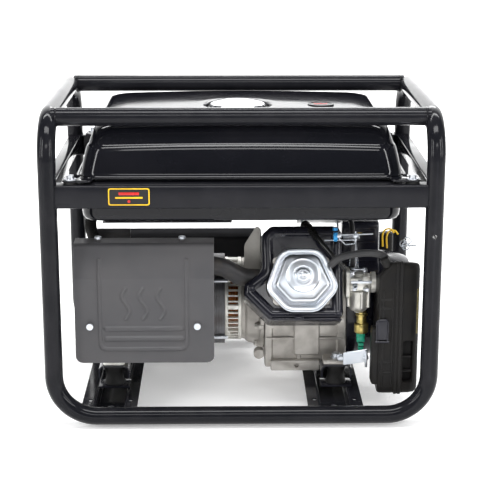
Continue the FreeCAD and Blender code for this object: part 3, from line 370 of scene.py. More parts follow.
TRIM = {
    "teal": finish("teal_connector", (0.008, 0.33, 0.20), (0.006, 0.26, 0.15), 0.38),
    "yellow": finish("yellow_wire", (0.86, 0.55, 0.01), (0.75, 0.45, 0.01), 0.40),
    "blue": finish("blue_anodised", (0.03, 0.28, 0.60), (0.02, 0.20, 0.48), 0.30, metallic=0.4),
    "red": finish("red_plastic", (0.60, 0.02, 0.015), (0.50, 0.015, 0.01), 0.32),
    "white": finish("white_print", (0.75, 0.75, 0.73), (0.68, 0.68, 0.66), 0.50),
    "copper": finish("enamelled_copper", (0.50, 0.20, 0.07), (0.36, 0.13, 0.05), 0.35, metallic=0.9,
                     grain=(2200.0, 0.5), tone_scale=300.0),
    # Near-black for printed marks on the meter and the label, and also painted shade: the insert in the
    # air cleaner's slot darkens a pocket where only shade falls.
    "black_print_and_painted_shade": finish("black_print_and_painted_shade", (0.006, 0.006, 0.006), (0.010, 0.009, 0.009), 0.70),
    "grey_sheet": finish("pale_gasket_sheet", (0.54, 0.52, 0.48), (0.46, 0.44, 0.40), 0.55,
                         grain=(1500.0, 0.3)),
}
print(len(FINISH) + len(TRIM), "finishes")

# %% [markdown]
# ## Shaping tools
#
# Every piece starts as an empty bmesh. A handful of small tools add solids to it: a softened block, a
# turned part described by its profile (a bolt, a cap, a boss), a tube along a path with true arcs at
# its bends, a sheet folded from a strip, and a plate cut to an outline. `piece` closes the work: it
# scales to metres, smooths the faces but keeps real edges sharp, gives the finish and ties the piece
# to its body.

# %% Tools: finish a piece
RIGHT, BACK, UP = (1, 0, 0), (0, 1, 0), (0, 0, 1)
LEFT, FRONT, DOWN = (-1, 0, 0), (0, -1, 0), (0, 0, -1)
CORNERS = [(end, side) for end in (-1, 1) for side in (-1, 1)]
PAINTS = {**FINISH, **TRIM}
made = []


def piece(name, bm, body, look, stands_for=(), sharp=38, turn=None):
    """Turns millimetre geometry into a finished object that rides on a body, unless body is None."""
    bmesh.ops.remove_doubles(bm, verts=bm.verts, dist=0.004)
    bmesh.ops.dissolve_degenerate(bm, edges=bm.edges, dist=0.003)
    bmesh.ops.recalc_face_normals(bm, faces=bm.faces)
    if turn is not None:
        bmesh.ops.transform(bm, matrix=turn, verts=bm.verts)
    bmesh.ops.scale(bm, vec=(MM, MM, MM), verts=bm.verts)
    mesh = bpy.data.meshes.new(name)
    bm.to_mesh(mesh)
    bm.free()
    mesh.materials.append(PAINTS[look])
    for face in mesh.polygons:
        face.use_smooth = True
    mesh.set_sharp_from_angle(angle=math.radians(sharp))
    thing = bpy.data.objects.new(name, mesh)
    bpy.context.scene.collection.objects.link(thing)
    if body is not None:
        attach(thing, body)
    if stands_for:
        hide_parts(*stands_for)
    made.append(name)
    return thing


# %% Tools: rings, lofts and turned parts
def bridge(bm, rings, close_ends=True, close_loop=False):
    """Skins a list of rings of vertices, each with the same number of points."""
    pairs = list(zip(rings, rings[1:])) + ([(rings[-1], rings[0])] if close_loop else [])
    for one, two in pairs:
        count = len(one)
        for i in range(count):
            j = (i + 1) % count
            bm.faces.new((one[i], one[j], two[j], two[i]))
    if close_ends and not close_loop:
        bm.faces.new(list(reversed(rings[0])))
        bm.faces.new(rings[-1])


def ring(bm, points):
    return [bm.verts.new(point) for point in points]


def across(direction):
    """Two directions square to the given one."""
    direction = Vector(direction).normalized()
    seed = Vector(UP) if abs(direction.z) < 0.9 else Vector(RIGHT)
    side = direction.cross(seed).normalized()
    return side, direction.cross(side).normalized()


def spokes(direction, sides):
    """Unit vectors spread evenly around a direction."""
    u, v = across(direction)
    return [u * math.cos(2 * math.pi * i / sides) + v * math.sin(2 * math.pi * i / sides)
            for i in range(sides)]


def turned_part(bm, start, direction, profile, sides=32):
    """A lathe part: profile is a list of (distance along the axis, radius)."""
    direction = Vector(direction).normalized()
    around = spokes(direction, sides)
    rings = []
    for along, radius in profile:
        middle = Vector(start) + direction * along
        rings.append(ring(bm, [middle + way * max(radius, 0.02) for way in around]))
    bridge(bm, rings)


def soft_rod(bm, start, direction, length, radius, chamfer=0.6, sides=28):
    turned_part(bm, start, direction, [(0, radius - chamfer), (chamfer, radius),
                                       (length - chamfer, radius), (length, radius - chamfer)], sides)


def soft_block(bm, low, high, radius=1.0, steps=2):
    """A block with rounded edges."""
    low, high = Vector(low), Vector(high)
    made_verts = bmesh.ops.create_cube(bm, size=1.0)["verts"]
    middle, size = (low + high) / 2, high - low
    bmesh.ops.scale(bm, vec=size, verts=made_verts)
    bmesh.ops.translate(bm, vec=middle, verts=made_verts)
    edges = list({edge for vert in made_verts for edge in vert.link_edges})
    limit = 0.45 * min(abs(s) for s in size)
    bmesh.ops.bevel(bm, geom=edges, offset=min(radius, limit), segments=steps, affect="EDGES",
                    profile=0.5)


def hex_head(bm, place, direction, across_flats, height, washer=0.0):
    """A hexagon head with a rounded top, on a flange or washer when one is asked for."""
    direction = Vector(direction).normalized()
    place = Vector(place)
    if washer:
        turned_part(bm, place, direction, [(0, washer), (1.2, washer), (1.7, washer - 0.6)], 28)
        place = place + direction * 1.2
    corner = across_flats / math.sqrt(3)
    rings = []
    for along, share in ((0, 1.0), (height - 0.9, 1.0), (height - 0.2, 0.93), (height, 0.80)):
        rings.append(ring(bm, [place + direction * along + way * corner * share
                               for way in spokes(direction, 6)]))
    bridge(bm, rings)


# %% Tools: bent tubes
def bend_route(corners, radius, steps=10):
    """Replaces each inner corner of a route by a true arc, and returns the centre line's points."""
    corners = [Vector(c) for c in corners]
    points = [corners[0]]
    for before, corner, after in zip(corners, corners[1:], corners[2:]):
        way_in, way_out = (corner - before).normalized(), (after - corner).normalized()
        turn = way_in.angle(way_out)
        if turn < 1e-4:
            continue
        reach = min(radius * math.tan(turn / 2), 0.48 * (corner - before).length,
                    0.48 * (after - corner).length)
        bend = reach / math.tan(turn / 2)
        start = corner - way_in * reach
        inward = (way_out - way_in).normalized()
        middle = corner + inward * bend / math.cos(turn / 2)
        axis = way_in.cross(way_out).normalized()
        for step in range(steps + 1):
            spin = Matrix.Rotation(turn * step / steps, 3, axis)
            points.append(middle + spin @ (start - middle))
    points.append(corners[-1])
    return points


def tube(bm, points, radius, sides=24, closed=False):
    """A round tube along points. radius is a number, or a function of the share of the way along."""
    points = [Vector(p) for p in points]
    count = len(points)
    lengths = [0.0]
    for one, two in zip(points, points[1:]):
        lengths.append(lengths[-1] + (two - one).length)
    tangents = []
    for i in range(count):
        before = points[i - 1] if i or closed else points[0]
        after = points[(i + 1) % count] if i + 1 < count or closed else points[-1]
        tangents.append((after - before).normalized())
    u = across(tangents[0])[0]
    rings = []
    for i, (point, tangent) in enumerate(zip(points, tangents)):
        u = (u - tangent * u.dot(tangent)).normalized()
        v = tangent.cross(u)
        share = lengths[i] / lengths[-1]
        r = radius(share) if callable(radius) else radius
        rings.append(ring(bm, [point + (u * math.cos(2 * math.pi * k / sides)
                                        + v * math.sin(2 * math.pi * k / sides)) * r
                               for k in range(sides)]))
    bridge(bm, rings, close_ends=not closed, close_loop=closed)


def coil_line(start, direction, radius, count, per_turn, pitch):
    """The wire of a coil spring along x or y: count points, so many in each turn."""
    line = []
    for k in range(count):
        angle = 2 * math.pi * k / per_turn
        place = Vector(start) + Vector(direction) * pitch * k
        swing = BACK if direction[0] else RIGHT
        line.append(place + Vector(swing) * radius * math.cos(angle)
                    + Vector(UP) * radius * math.sin(angle))
    return line


def smooth_route(points, steps=8):
    """A smooth line through points, for hoses and wires."""
    points = [Vector(p) for p in points]
    padded = [2 * points[0] - points[1]] + points + [2 * points[-1] - points[-2]]
    line = []
    for a, b, c, d in zip(padded, padded[1:], padded[2:], padded[3:]):
        for step in range(steps):
            t = step / steps
            line.append(0.5 * (2 * b + (c - a) * t + (2 * a - 5 * b + 4 * c - d) * t * t
                               + (3 * b - a - 3 * c + d) * t ** 3))
    line.append(points[-1])
    return line


# %% Tools: plates and folded sheet
def rectangle(left, right, low, high):
    return [(left, low), (right, low), (right, high), (left, high)]


def rounded_outline(corners, radius, steps=5):
    """A flat outline with its corners rounded. radius is one number or one per corner."""
    count = len(corners)
    radii = radius if isinstance(radius, (list, tuple)) else [radius] * count
    outline = []
    for i in range(count):
        here = Vector(corners[i])
        before, after = Vector(corners[i - 1]), Vector(corners[(i + 1) % count])
        way_in, way_out = (here - before).normalized(), (after - here).normalized()
        turn = way_in.angle(way_out)
        if radii[i] < 0.01 or turn < 1e-3:
            outline.append(here)
            continue
        reach = min(radii[i] * math.tan(turn / 2), 0.49 * (here - before).length,
                    0.49 * (after - here).length)
        start, end = here - way_in * reach, here + way_out * reach
        for step in range(steps + 1):
            t = step / steps
            outline.append((1 - t) ** 2 * start + 2 * t * (1 - t) * here + t * t * end)
    return outline


def moved_in(corners, distance, sharpest):
    """An outline's corners, moved in evenly; sharpest limits how far a sharp corner runs."""
    count, moved = len(corners), []
    for i in range(count):
        before, here, after = (Vector(corners[k % count]) for k in (i - 1, i, i + 1))
        one, two = (here - before).normalized(), (after - here).normalized()
        out_one, out_two = Vector((one.y, -one.x)), Vector((two.y, -two.x))
        half = (out_one + out_two).normalized()
        moved.append(here - half * (distance / max(sharpest, half.dot(out_one))))
    return moved


def plate(bm, outline, place, low, high, soften=0.6):
    """A plate of an outline in (u, v), from low to high; place turns (u, v, height) into a point."""
    middle = sum((Vector(p) for p in outline), Vector((0, 0))) / len(outline)

    def shrunk(inset):
        points = []
        for i, here in enumerate(outline):
            before, here = Vector(outline[i - 1]), Vector(here)
            after = Vector(outline[(i + 1) % len(outline)])
            edge = (after - before).normalized()
            inward = Vector((-edge.y, edge.x))
            if inward.dot(middle - here) < 0:
                inward = -inward
            points.append(here + inward * inset)
        return points

    levels = [(low, soften), (low + soften, 0), (high - soften, 0), (high, soften)]
    rings = [ring(bm, [place(p.x, p.y, h) for p in shrunk(inset)]) for h, inset in levels]
    bridge(bm, rings)


def facing_minus_y(u, v, h):
    return Vector((u, -h, v))


def facing_plus_y(u, v, h):
    return Vector((u, h, v))


def facing_x(u, v, h):
    return Vector((h, u, v))


def facing_z(u, v, h):
    return Vector((u, v, h))


def folded_sheet(bm, strip, thickness, bend, place, low, high, steps=5):
    """A sheet folded from a strip: its middle line in (u, v), drawn out from low to high."""
    line = bend_route([(u, v, 0) for u, v in strip], bend, steps)
    sides = []
    for i, point in enumerate(line):
        before = line[max(i - 1, 0)]
        after = line[min(i + 1, len(line) - 1)]
        tangent = (after - before).normalized()
        normal = Vector((-tangent.y, tangent.x, 0)) * thickness / 2
        sides.append((point + normal, point - normal))
    outline = [s[0] for s in sides] + [s[1] for s in reversed(sides)]
    rings = [ring(bm, [place(p.x, p.y, h) for p in outline]) for h in (low, high)]
    count = len(line)
    total = len(outline)
    for i in range(total):
        j = (i + 1) % total
        bm.faces.new((rings[0][i], rings[0][j], rings[1][j], rings[1][i]))
    for level in rings:
        for i in range(count - 1):
            bm.faces.new((level[i], level[i + 1], level[total - 2 - i], level[total - 1 - i]))


def drill(thing, cutters, overlapping=False):
    """Cuts holes with the solids in a bmesh (millimetres), for slots and bolt holes."""
    mesh = bpy.data.meshes.new("drill")
    bmesh.ops.scale(cutters, vec=(MM, MM, MM), verts=cutters.verts)
    bmesh.ops.recalc_face_normals(cutters, faces=cutters.faces)
    cutters.to_mesh(mesh)
    cutters.free()
    tool = bpy.data.objects.new("drill", mesh)
    bpy.context.scene.collection.objects.link(tool)
    cut = thing.modifiers.new("holes", "BOOLEAN")
    cut.operation, cut.object, cut.solver = "DIFFERENCE", tool, "EXACT"
    cut.use_self = overlapping
    bpy.context.view_layer.update()
    solid = bpy.data.meshes.new_from_object(thing.evaluated_get(
        bpy.context.evaluated_depsgraph_get()))
    thing.modifiers.clear()
    thing.data = solid
    bpy.data.objects.remove(tool)
    solid.set_sharp_from_angle(angle=math.radians(38))
    return thing


def rounded_rectangle(half_x, half_y, radius, count=96, centre=(0, 0)):
    """Points round a rectangle with round corners, spread so that rings of any size match up."""
    straight_x, straight_y = half_x - radius, half_y - radius
    corner = count // 8
    points = []
    quarters = [(1, -1, -90), (1, 1, 0), (-1, 1, 90), (-1, -1, 180)]
    for index, (sx, sy, first) in enumerate(quarters):
        for step in range(corner + 1):
            angle = math.radians(first + 90 * step / corner)
            points.append(Vector((centre[0] + sx * straight_x + radius * math.cos(angle),
                                  centre[1] + sy * straight_y + radius * math.sin(angle))))
        nx, ny, after = quarters[(index + 1) % 4]
        angle = math.radians(after)
        last = points[-1]
        target = Vector((centre[0] + nx * straight_x + radius * math.cos(angle),
                         centre[1] + ny * straight_y + radius * math.sin(angle)))
        for step in range(1, corner - 1):
            points.append(last.lerp(target, step / (corner - 1)))
    return points


print("shaping tools ready")

# %% [markdown]
# ## Tube frame
#
# The frame is 32 mm steel tube, bent cold: the arcs are true quarter circles and the tube keeps its
# round section. Each side hoop is drawn as one route with rounded corners. Where two tubes meet, the
# welder leaves a bead, a string of small overlapping bumps, and the powder coat runs over it.

# %% Measure the frame
random.seed(7)
hoop_low, hoop_high = span("muffler_side_hoop")
TUBE_R = 16.0
POST_X = hoop_high.x - TUBE_R
HOOP_Y = -hoop_low.y - TUBE_R
BOTTOM_Z = hoop_low.z + TUBE_R
TOP_Z = hoop_high.z - TUBE_R
CORNER_R, SHOULDER_R = 75.0, 70.0
HANDLE_HOLE_Z, HANDLE_HOLE_R = 355, 4.3
SPLIT_Z = TOP_Z - 200
print("posts at x", round(POST_X), "hoops at y", round(HOOP_Y))


def weld_bead(bm, points, radius=2.2, pitch=2.4):
    """A line of overlapping bumps along points, as a welder leaves it."""
    line = [Vector(p) for p in points]
    walk = []
    for one, two in zip(line, line[1:]):
        steps = max(1, round((two - one).length / (pitch / 3)))
        walk += [one.lerp(two, s / steps) for s in range(steps)]
    walk.append(line[-1])
    ripple = [radius * (0.82 + 0.18 * math.cos(2 * math.pi * i / 3) + random.uniform(-0.05, 0.05))
              for i in range(len(walk))]
    tube(bm, walk, lambda share: ripple[min(int(share * (len(walk) - 1)), len(walk) - 1)], sides=8)


def circle_points(centre, axis, radius, start=0.0, end=360.0, steps=48):
    u, v = across(axis)
    return [Vector(centre) + (u * math.cos(a) + v * math.sin(a)) * radius
            for a in (math.radians(start + (end - start) * i / steps) for i in range(steps + 1))]


# %% Side hoops with the handle holes
for side, node in ((-1, "muffler_side_hoop"), (1, "panel_side_hoop")):
    y = side * HOOP_Y
    low = bend_route([(-POST_X, y, TOP_Z), (-POST_X, y, BOTTOM_Z), (POST_X, y, BOTTOM_Z),
                      (POST_X, y, TOP_Z)], CORNER_R, 14)
    route = [Vector((-POST_X, 0, TOP_Z))]
    route += bend_route([(-POST_X, 0, TOP_Z), (-POST_X, y, TOP_Z), (-POST_X, y, SPLIT_Z)],
                        SHOULDER_R, 14)[1:-1]
    route += low[1:-1]
    route += bend_route([(POST_X, y, SPLIT_Z), (POST_X, y, TOP_Z), (POST_X, 0, TOP_Z)],
                        SHOULDER_R, 14)[1:]
    bm = bmesh.new()
    tube(bm, route, TUBE_R, sides=40)
    hoop = piece(node.replace("_hoop", "_hoop_tube"), bm, "frame", "frame_paint", [node])
    hole = bmesh.new()
    turned_part(hole, (POST_X, y - 20, HANDLE_HOLE_Z), BACK,
                [(0, HANDLE_HOLE_R), (40, HANDLE_HOLE_R)], 24)
    drill(hoop, hole)

# %% Top tubes and welds
bm = bmesh.new()
top_y = HOOP_Y - 45
for side in (-1, 1):
    turned_part(bm, (-POST_X + 6, side * top_y, TOP_Z), RIGHT,
                [(0, TUBE_R), (2 * POST_X - 12, TUBE_R)], 40)
piece("top_carry_tubes", bm, "frame", "frame_paint", ["top_tubes"])

bm = bmesh.new()
for side in (-1, 1):
    for end in (-1, 1):
        weld_bead(bm, circle_points((end * (POST_X - 13.5), side * top_y, TOP_Z), RIGHT, 16.6,
                                    steps=40), 1.9)
        for z in (407, 444):
            x = end * (POST_X - 11)
            weld_bead(bm, [(x - 5, side * 249, z), (x + 5, side * 250.5, z)], 2.6)
        weld_bead(bm, [(end * (POST_X - 12.6), side * 250, 409),
                       (end * (POST_X - 12.6), side * 250, 442)], 1.7)
for vert in bm.verts:
    vert.co.z = min(vert.co.z, TOP_Z + TUBE_R - 0.1)
piece("frame_weld_beads", bm, "frame", "frame_paint")
print("frame tubes and welds built")

# %% [markdown]
# ## Rails, feet and mounts
#
# The tank sits on folded channels and the engine on two hat-shaped cross rails. Folded sheet has a
# bend radius, never a sharp corner, so each rail is a strip with rounded folds drawn out along its
# length. Rubber blocks under small bridge brackets keep the engine's shaking out of the frame.

# %% Tank rails
SHEET = 2.5
for side, node in ((-1, "muffler_side_tank_rail"), (1, "panel_side_tank_rail")):
    low, high = span(node)
    face = max(abs(low.y), abs(high.y)) - SHEET / 2
    lip = face - 26
    top, floor = high.z - SHEET / 2, low.z + SHEET / 2
    strip = [(side * lip, top), (side * face, top), (side * face, floor), (side * lip, floor)]
    bm = bmesh.new()
    folded_sheet(bm, strip, SHEET, 3.4, facing_x, -POST_X + 3, POST_X - 3)
    piece(node + "_channel", bm, "frame", "frame_paint", [node])
for node in ("alternator_end_tank_rail", "engine_end_tank_rail"):
    low, high = span(node)
    bm = bmesh.new()
    soft_block(bm, (low.x, -HOOP_Y, low.z), (high.x, HOOP_Y, high.z), 3.0, 3)
    piece(node + "_bar", bm, "frame", "frame_paint", [node])

# %% Cross rails with their wheel holes
CHANNEL_WIDTH = 51.0
FOOT_Y, WHEEL_HOLE_X, WHEEL_HOLE_R = 199.0, 36.5, 4.5
for node in ("engine_cross_rail", "alternator_cross_rail"):
    low, high = span(node)
    rail_x = (low.x + high.x) / 2
    slot = CHANNEL_WIDTH / 2 + SHEET / 2
    top, floor = high.z - SHEET / 2, low.z + SHEET / 2
    strip = [(-50, top), (-slot, top), (-slot, floor), (slot, floor), (slot, top), (50, top)]
    bm = bmesh.new()
    folded_sheet(bm, [(rail_x + u, v) for u, v in strip], SHEET, 3.6,
                 facing_plus_y, -HOOP_Y + 4, HOOP_Y - 4)
    rail = piece(node + "_hat", bm, "frame", "frame_paint", [node])
    holes = bmesh.new()
    for side in (-1, 1):
        for end in (-1, 1):
            turned_part(holes, (rail_x + end * WHEEL_HOLE_X, side * FOOT_Y, 25), UP,
                        [(0, WHEEL_HOLE_R), (20, WHEEL_HOLE_R)], 20)
    drill(rail, holes)

# %% Feet, rubber blocks, brackets
MOUNT_Y, MOUNT_HALF_Y = 118.0, 20
PLATE_LOW, PLATE_TOP, BRACKET_FOOT, BRACKET_TOP = 36, 40, 55, 78.4
feet, blocks, brackets = bmesh.new(), bmesh.new(), bmesh.new()
for node, mount_x in (("engine_cross_rail", 177), ("alternator_cross_rail", -236)):
    low, high = span(node)
    rail_x = (low.x + high.x) / 2
    for side in (-1, 1):
        turned_part(feet, (rail_x, side * FOOT_Y, 0), UP,
                    [(0, 9), (0, 14.5), (1.2, 16), (9.5, 18.6), (11, 19), (12, 18.4)], 40)
        y = side * MOUNT_Y
        turned_part(blocks, (mount_x, y, PLATE_TOP), UP,
                    [(0, 18.5), (2.5, 19.5), (6, 18), (14, 15.8), (22, 15.8), (31, 18),
                     (35, 19.3), (37, 18.6)], 40)
        soft_block(brackets, (mount_x - 29, y - MOUNT_HALF_Y, PLATE_LOW),
                   (mount_x + 29, y + MOUNT_HALF_Y, PLATE_TOP), 1.5)
        strip = [(mount_x - 27, BRACKET_FOOT), (mount_x - 27, BRACKET_TOP),
                 (mount_x + 27, BRACKET_TOP), (mount_x + 27, BRACKET_FOOT)]
        folded_sheet(brackets, strip, 3, 9, facing_plus_y, y - MOUNT_HALF_Y, y + MOUNT_HALF_Y)
for end, side in CORNERS:
    turned_part(blocks, (end * 295, side * 232, 446), UP, [(0, 11), (0.6, 12), (3.4, 12), (4, 11)], 28)
piece("rubber_foot_pads", feet, "frame", "rubber", ["rubber_feet"])
piece("rubber_mount_blocks", blocks, "frame", "rubber", ["rubber_mounts"])
piece("mount_bridge_brackets", brackets, "frame", "black_sheet", ["mount_brackets"])
print("rails and mounts built")

# %% [markdown]
# ## Fuel tank
#
# The tank is two deep-drawn shells joined by a rolled seam. A drawn shell has soft shoulders and no
# straight line anywhere: its long crease bows upward in the middle. It is lofted from rings that share
# one outline, a rectangle with round corners, and near the filler the rings turn into circles so that
# the skin flows down into the cap's dish.

# %% Loft the upper shell
TANK_X, TANK_Y = 281.0, 211.0
CAP_X = -5.0
BOW = 5.4


def tank_ring(bm, inset_x, inset_y, radius, z, bow):
    outline = rounded_rectangle(TANK_X - inset_x, TANK_Y - inset_y, radius)
    return ring(bm, [(p.x, p.y, z + bow * (1 - (p.x / TANK_X) ** 2)) for p in outline])


def dish_ring(bm, outline, radius, z):
    points = []
    for p in outline:
        aim = (p - Vector((CAP_X, 0))).normalized()
        points.append((CAP_X + aim.x * radius, aim.y * radius, z))
    return ring(bm, points)


SHELL = [(-3.0, -3.0, 36, 453.0, 0), (-0.6, -0.6, 34, 455.0, 0), (0.4, 0.4, 34, 462.0, 0),
         (4.5, 2.2, 34, 480.0, 0.6), (8.0, 4.6, 34, 494.0, 2.6), (9.6, 6.2, 34, 499.5, 3.6),
         (11.0, 8.2, 33, 502.4, 4.0), (13.0, 10.8, 32, 504.2, 4.2), (14.4, 12.8, 31, 506.6, 4.4),
         (16.4, 15.5, 31, 513.0, 4.8), (19.5, 20.0, 31, 522.0, BOW), (22.5, 25.5, 31, 529.5, BOW),
         (27.0, 31.5, 30, 534.6, BOW), (33.0, 38.5, 30, 538.0, BOW), (42.0, 48.0, 31, 540.0, BOW),
         (70.0, 76.0, 34, 540.8, BOW), (120.0, 110.0, 45, 540.8, BOW)]
bm = bmesh.new()
rings = [tank_ring(bm, *level) for level in SHELL]
inner = rounded_rectangle(TANK_X - 120, TANK_Y - 110, 45)
DISH = [(78, 545.9), (66, 545.9), (62.5, 545.5), (60.4, 544.4), (59.4, 542.6), (59.0, 539.5),
        (57.6, 537.0), (54.5, 535.9), (31.5, 535.6), (31.0, 536.2), (30.8, 543.0), (30.2, 544.6),
        (29.2, 544.6), (29.0, 543.0), (29.0, 530.0)]
rings += [dish_ring(bm, inner, radius, z) for radius, z in DISH]
bridge(bm, rings, close_ends=False)
piece("tank_upper_pressing", bm, "frame", "tank_paint", ["tank_upper_shell"], sharp=50)

# %% Loft the lower shell, the rolled seam and its ears
bm = bmesh.new()
BOWL = [(40, 40, 10, 372.2, 0), (12, 12, 26, 372.0, 0), (5, 5, 30, 374.0, 0), (1.4, 1.4, 33, 378.5, 0),
        (0.2, 0.2, 34, 386.0, 0), (0, 0, 34, 440.0, 0), (-0.6, -0.6, 34, 447.5, 0),
        (-3.0, -3.0, 36, 450.0, 0)]
rings = [tank_ring(bm, *level) for level in BOWL]
bridge(bm, rings, close_ends=False)
bm.faces.new(list(reversed(rings[0])))
piece("tank_lower_pressing", bm, "frame", "tank_paint", ["tank_lower_shell"], sharp=50)

bm = bmesh.new()
SEAM = [(-2.5, -2.5, 36, 449.9, 0), (-7.2, -7.2, 40, 449.9, 0), (-8.0, -8.0, 41, 450.6, 0),
        (-8.0, -8.0, 41, 452.4, 0), (-7.2, -7.2, 40, 453.1, 0), (-2.5, -2.5, 36, 453.1, 0)]
rings = [tank_ring(bm, *level) for level in SEAM]
bridge(bm, rings, close_ends=False)
for end, side in CORNERS:
    ear = rectangle(end * 257, end * 309, side * 192, side * 244)
    plate(bm, rounded_outline(ear, 12), facing_z, 449.9, 453.1, 0.5)
piece("tank_rolled_seam", bm, "frame", "tank_paint", sharp=50)
print("tank lofted, top at", round(max(z for _, z in DISH)))

# %% Fuel cap, its insert and the gauge
bm = bmesh.new()
turned_part(bm, (CAP_X, 0, 536.3), UP,
            [(0.4, 47.6), (0, 48.4), (0, 50.2), (0.8, 51), (9.6, 51), (11.2, 50.4), (12.6, 48.6),
             (13.5, 45.5), (14.2, 40), (14.7, 33), (14.5, 30.5), (13.2, 28.6), (13.0, 22),
             (13.0, 0)], 96)
piece("fuel_cap_shell", bm, "fuel_cap", "cap_chrome", ["fuel_cap"], sharp=30)
bm = bmesh.new()
soft_block(bm, (CAP_X - 30, -6.5, 548.2), (CAP_X + 30, 6.5, 550.9), 1.3, 3)
for step in range(24):
    angle = 2 * math.pi * step / 24
    x, y = CAP_X + 50.2 * math.cos(angle), 50.2 * math.sin(angle)
    soft_rod(bm, (x, y, 538), UP, 7.5, 1.6, 0.5, 8)
piece("fuel_cap_grip_bar", bm, "fuel_cap", "cap_chrome")
bm = bmesh.new()
turned_part(bm, (CAP_X, 0, 527.0), UP,
            [(0, 24), (1.5, 26.5), (4, 27.6), (18.4, 27.6), (19.6, 26.8), (20.0, 20), (20.0, 0)], 48)
piece("fuel_cap_bayonet", bm, "fuel_cap_insert", "black_plastic", ["fuel_cap_insert"])

bm = bmesh.new()
GAUGE = (150.0, 0.0, 543.6)
turned_part(bm, GAUGE, UP, [(0, 24), (0.8, 24.6), (2.8, 24.6), (3.6, 23.4), (3.4, 20.5),
                                   (2.2, 19.5), (2.2, 0)], 48)
piece("fuel_gauge_bezel", bm, "frame", "gloss_plastic")
bm = bmesh.new()
soft_block(bm, (138, -1.4, 545.6), (162, 1.4, 546.6), 0.4)
for x in (138, 150, 162):
    soft_block(bm, (x - 0.6, 6, 545.7), (x + 0.6, 12, 546.2), 0.2)
piece("fuel_gauge_needle", bm, "frame", "red")

# %% [markdown]
# ## Muffler heat shield
#
# One pressed sheet, bent twice, with a raised frame, three stiffening ribs and three wavy heat lines
# embossed in it. Embossing is real relief, so the sheet is a fine grid laid on its folded profile, and
# every point is pushed out by a height that falls off with the distance from each stroke.

# %% Strokes of the embossing
shield_low, shield_high = span("muffler_heat_shield")
SHIELD_CREASE, SHIELD_LEAN = 270.0, 14.0
FRAME_X = (-252.0, -97.5)
FRAME_FOOT, FRAME_TOP = 139.0, 302.0
EMBOSS = 2.6
STROKES = [((FRAME_X[0] + 10, FRAME_FOOT), (FRAME_X[1] - 10, FRAME_FOOT))]
for bead_x, inward in ((FRAME_X[0], 1), (FRAME_X[1], -1)):
    turn_one = (bead_x, FRAME_FOOT + 10)
    turn_two = (bead_x + 3 * inward, FRAME_FOOT + 3)
    STROKES += [((bead_x, FRAME_TOP), turn_one), (turn_one, turn_two),
                (turn_two, (bead_x + 10 * inward, FRAME_FOOT))]
RIBS_Z = (158.5, 177.5)
WAVES_X, WAVE_FOOT, WAVE_HEIGHT = (-206.0, -175.0, -144.0), 196.0, 56.0
SHIELD_BOLTS_X, SHIELD_BOLT_Z = (-270.0, -79.0), 183


def capsule(x, z, one, two):
    """Distance from a point to a straight stroke."""
    dx, dz = two[0] - one[0], two[1] - one[1]
    share = max(0.0, min(1.0, ((x - one[0]) * dx + (z - one[1]) * dz) / (dx * dx + dz * dz)))
    return math.hypot(x - one[0] - share * dx, z - one[1] - share * dz)


def raised(distance, half_width, edge=1.5):
    share = max(0.0, min(1.0, (half_width + edge - distance) / (2 * edge)))
    return share * share * (3 - 2 * share)


def emboss_height(x, z):
    """How far the sheet stands out at a place on its front."""
    height = raised(min(capsule(x, z, *stroke) for stroke in STROKES), 3.0)
    for rib_z in RIBS_Z:
        rib = capsule(x, z, (FRAME_X[0] + 11, rib_z), (FRAME_X[1] - 9, rib_z))
        height = max(height, raised(rib, 4.0, 1.3))
    for wave_x in WAVES_X:
        lift = max(WAVE_FOOT, min(WAVE_FOOT + WAVE_HEIGHT, z))
        swing = wave_x + 6.5 * math.sin((lift - WAVE_FOOT) / WAVE_HEIGHT * 2 * math.pi)
        height = max(height, raised(math.hypot((x - swing) * 0.82, z - lift), 2.2, 1.4))
    for bolt_x in SHIELD_BOLTS_X:
        seat = raised(math.hypot(x - bolt_x, z - SHIELD_BOLT_Z), 9.0, 1.5)
        height = max(height, -0.8 * seat + height)
    return height * EMBOSS


# %% Press the shield
def shield_profile():
    """The folded side view as evenly spaced points (y, z)."""
    face, top = shield_low.y + 4.0, shield_high.z - 4.0
    lean_y = face + SHIELD_LEAN
    corners = [(face, shield_low.z, 0), (face, SHIELD_CREASE, 0), (lean_y, top, 0),
               (lean_y + 42, top, 0)]
    line = bend_route(corners, 9.0, 6)
    points = []
    for one, two in zip(line, line[1:]):
        steps = max(1, round((two - one).length / 1.5))
        points += [one.lerp(two, s / steps) for s in range(steps)]
    points.append(line[-1])
    return points


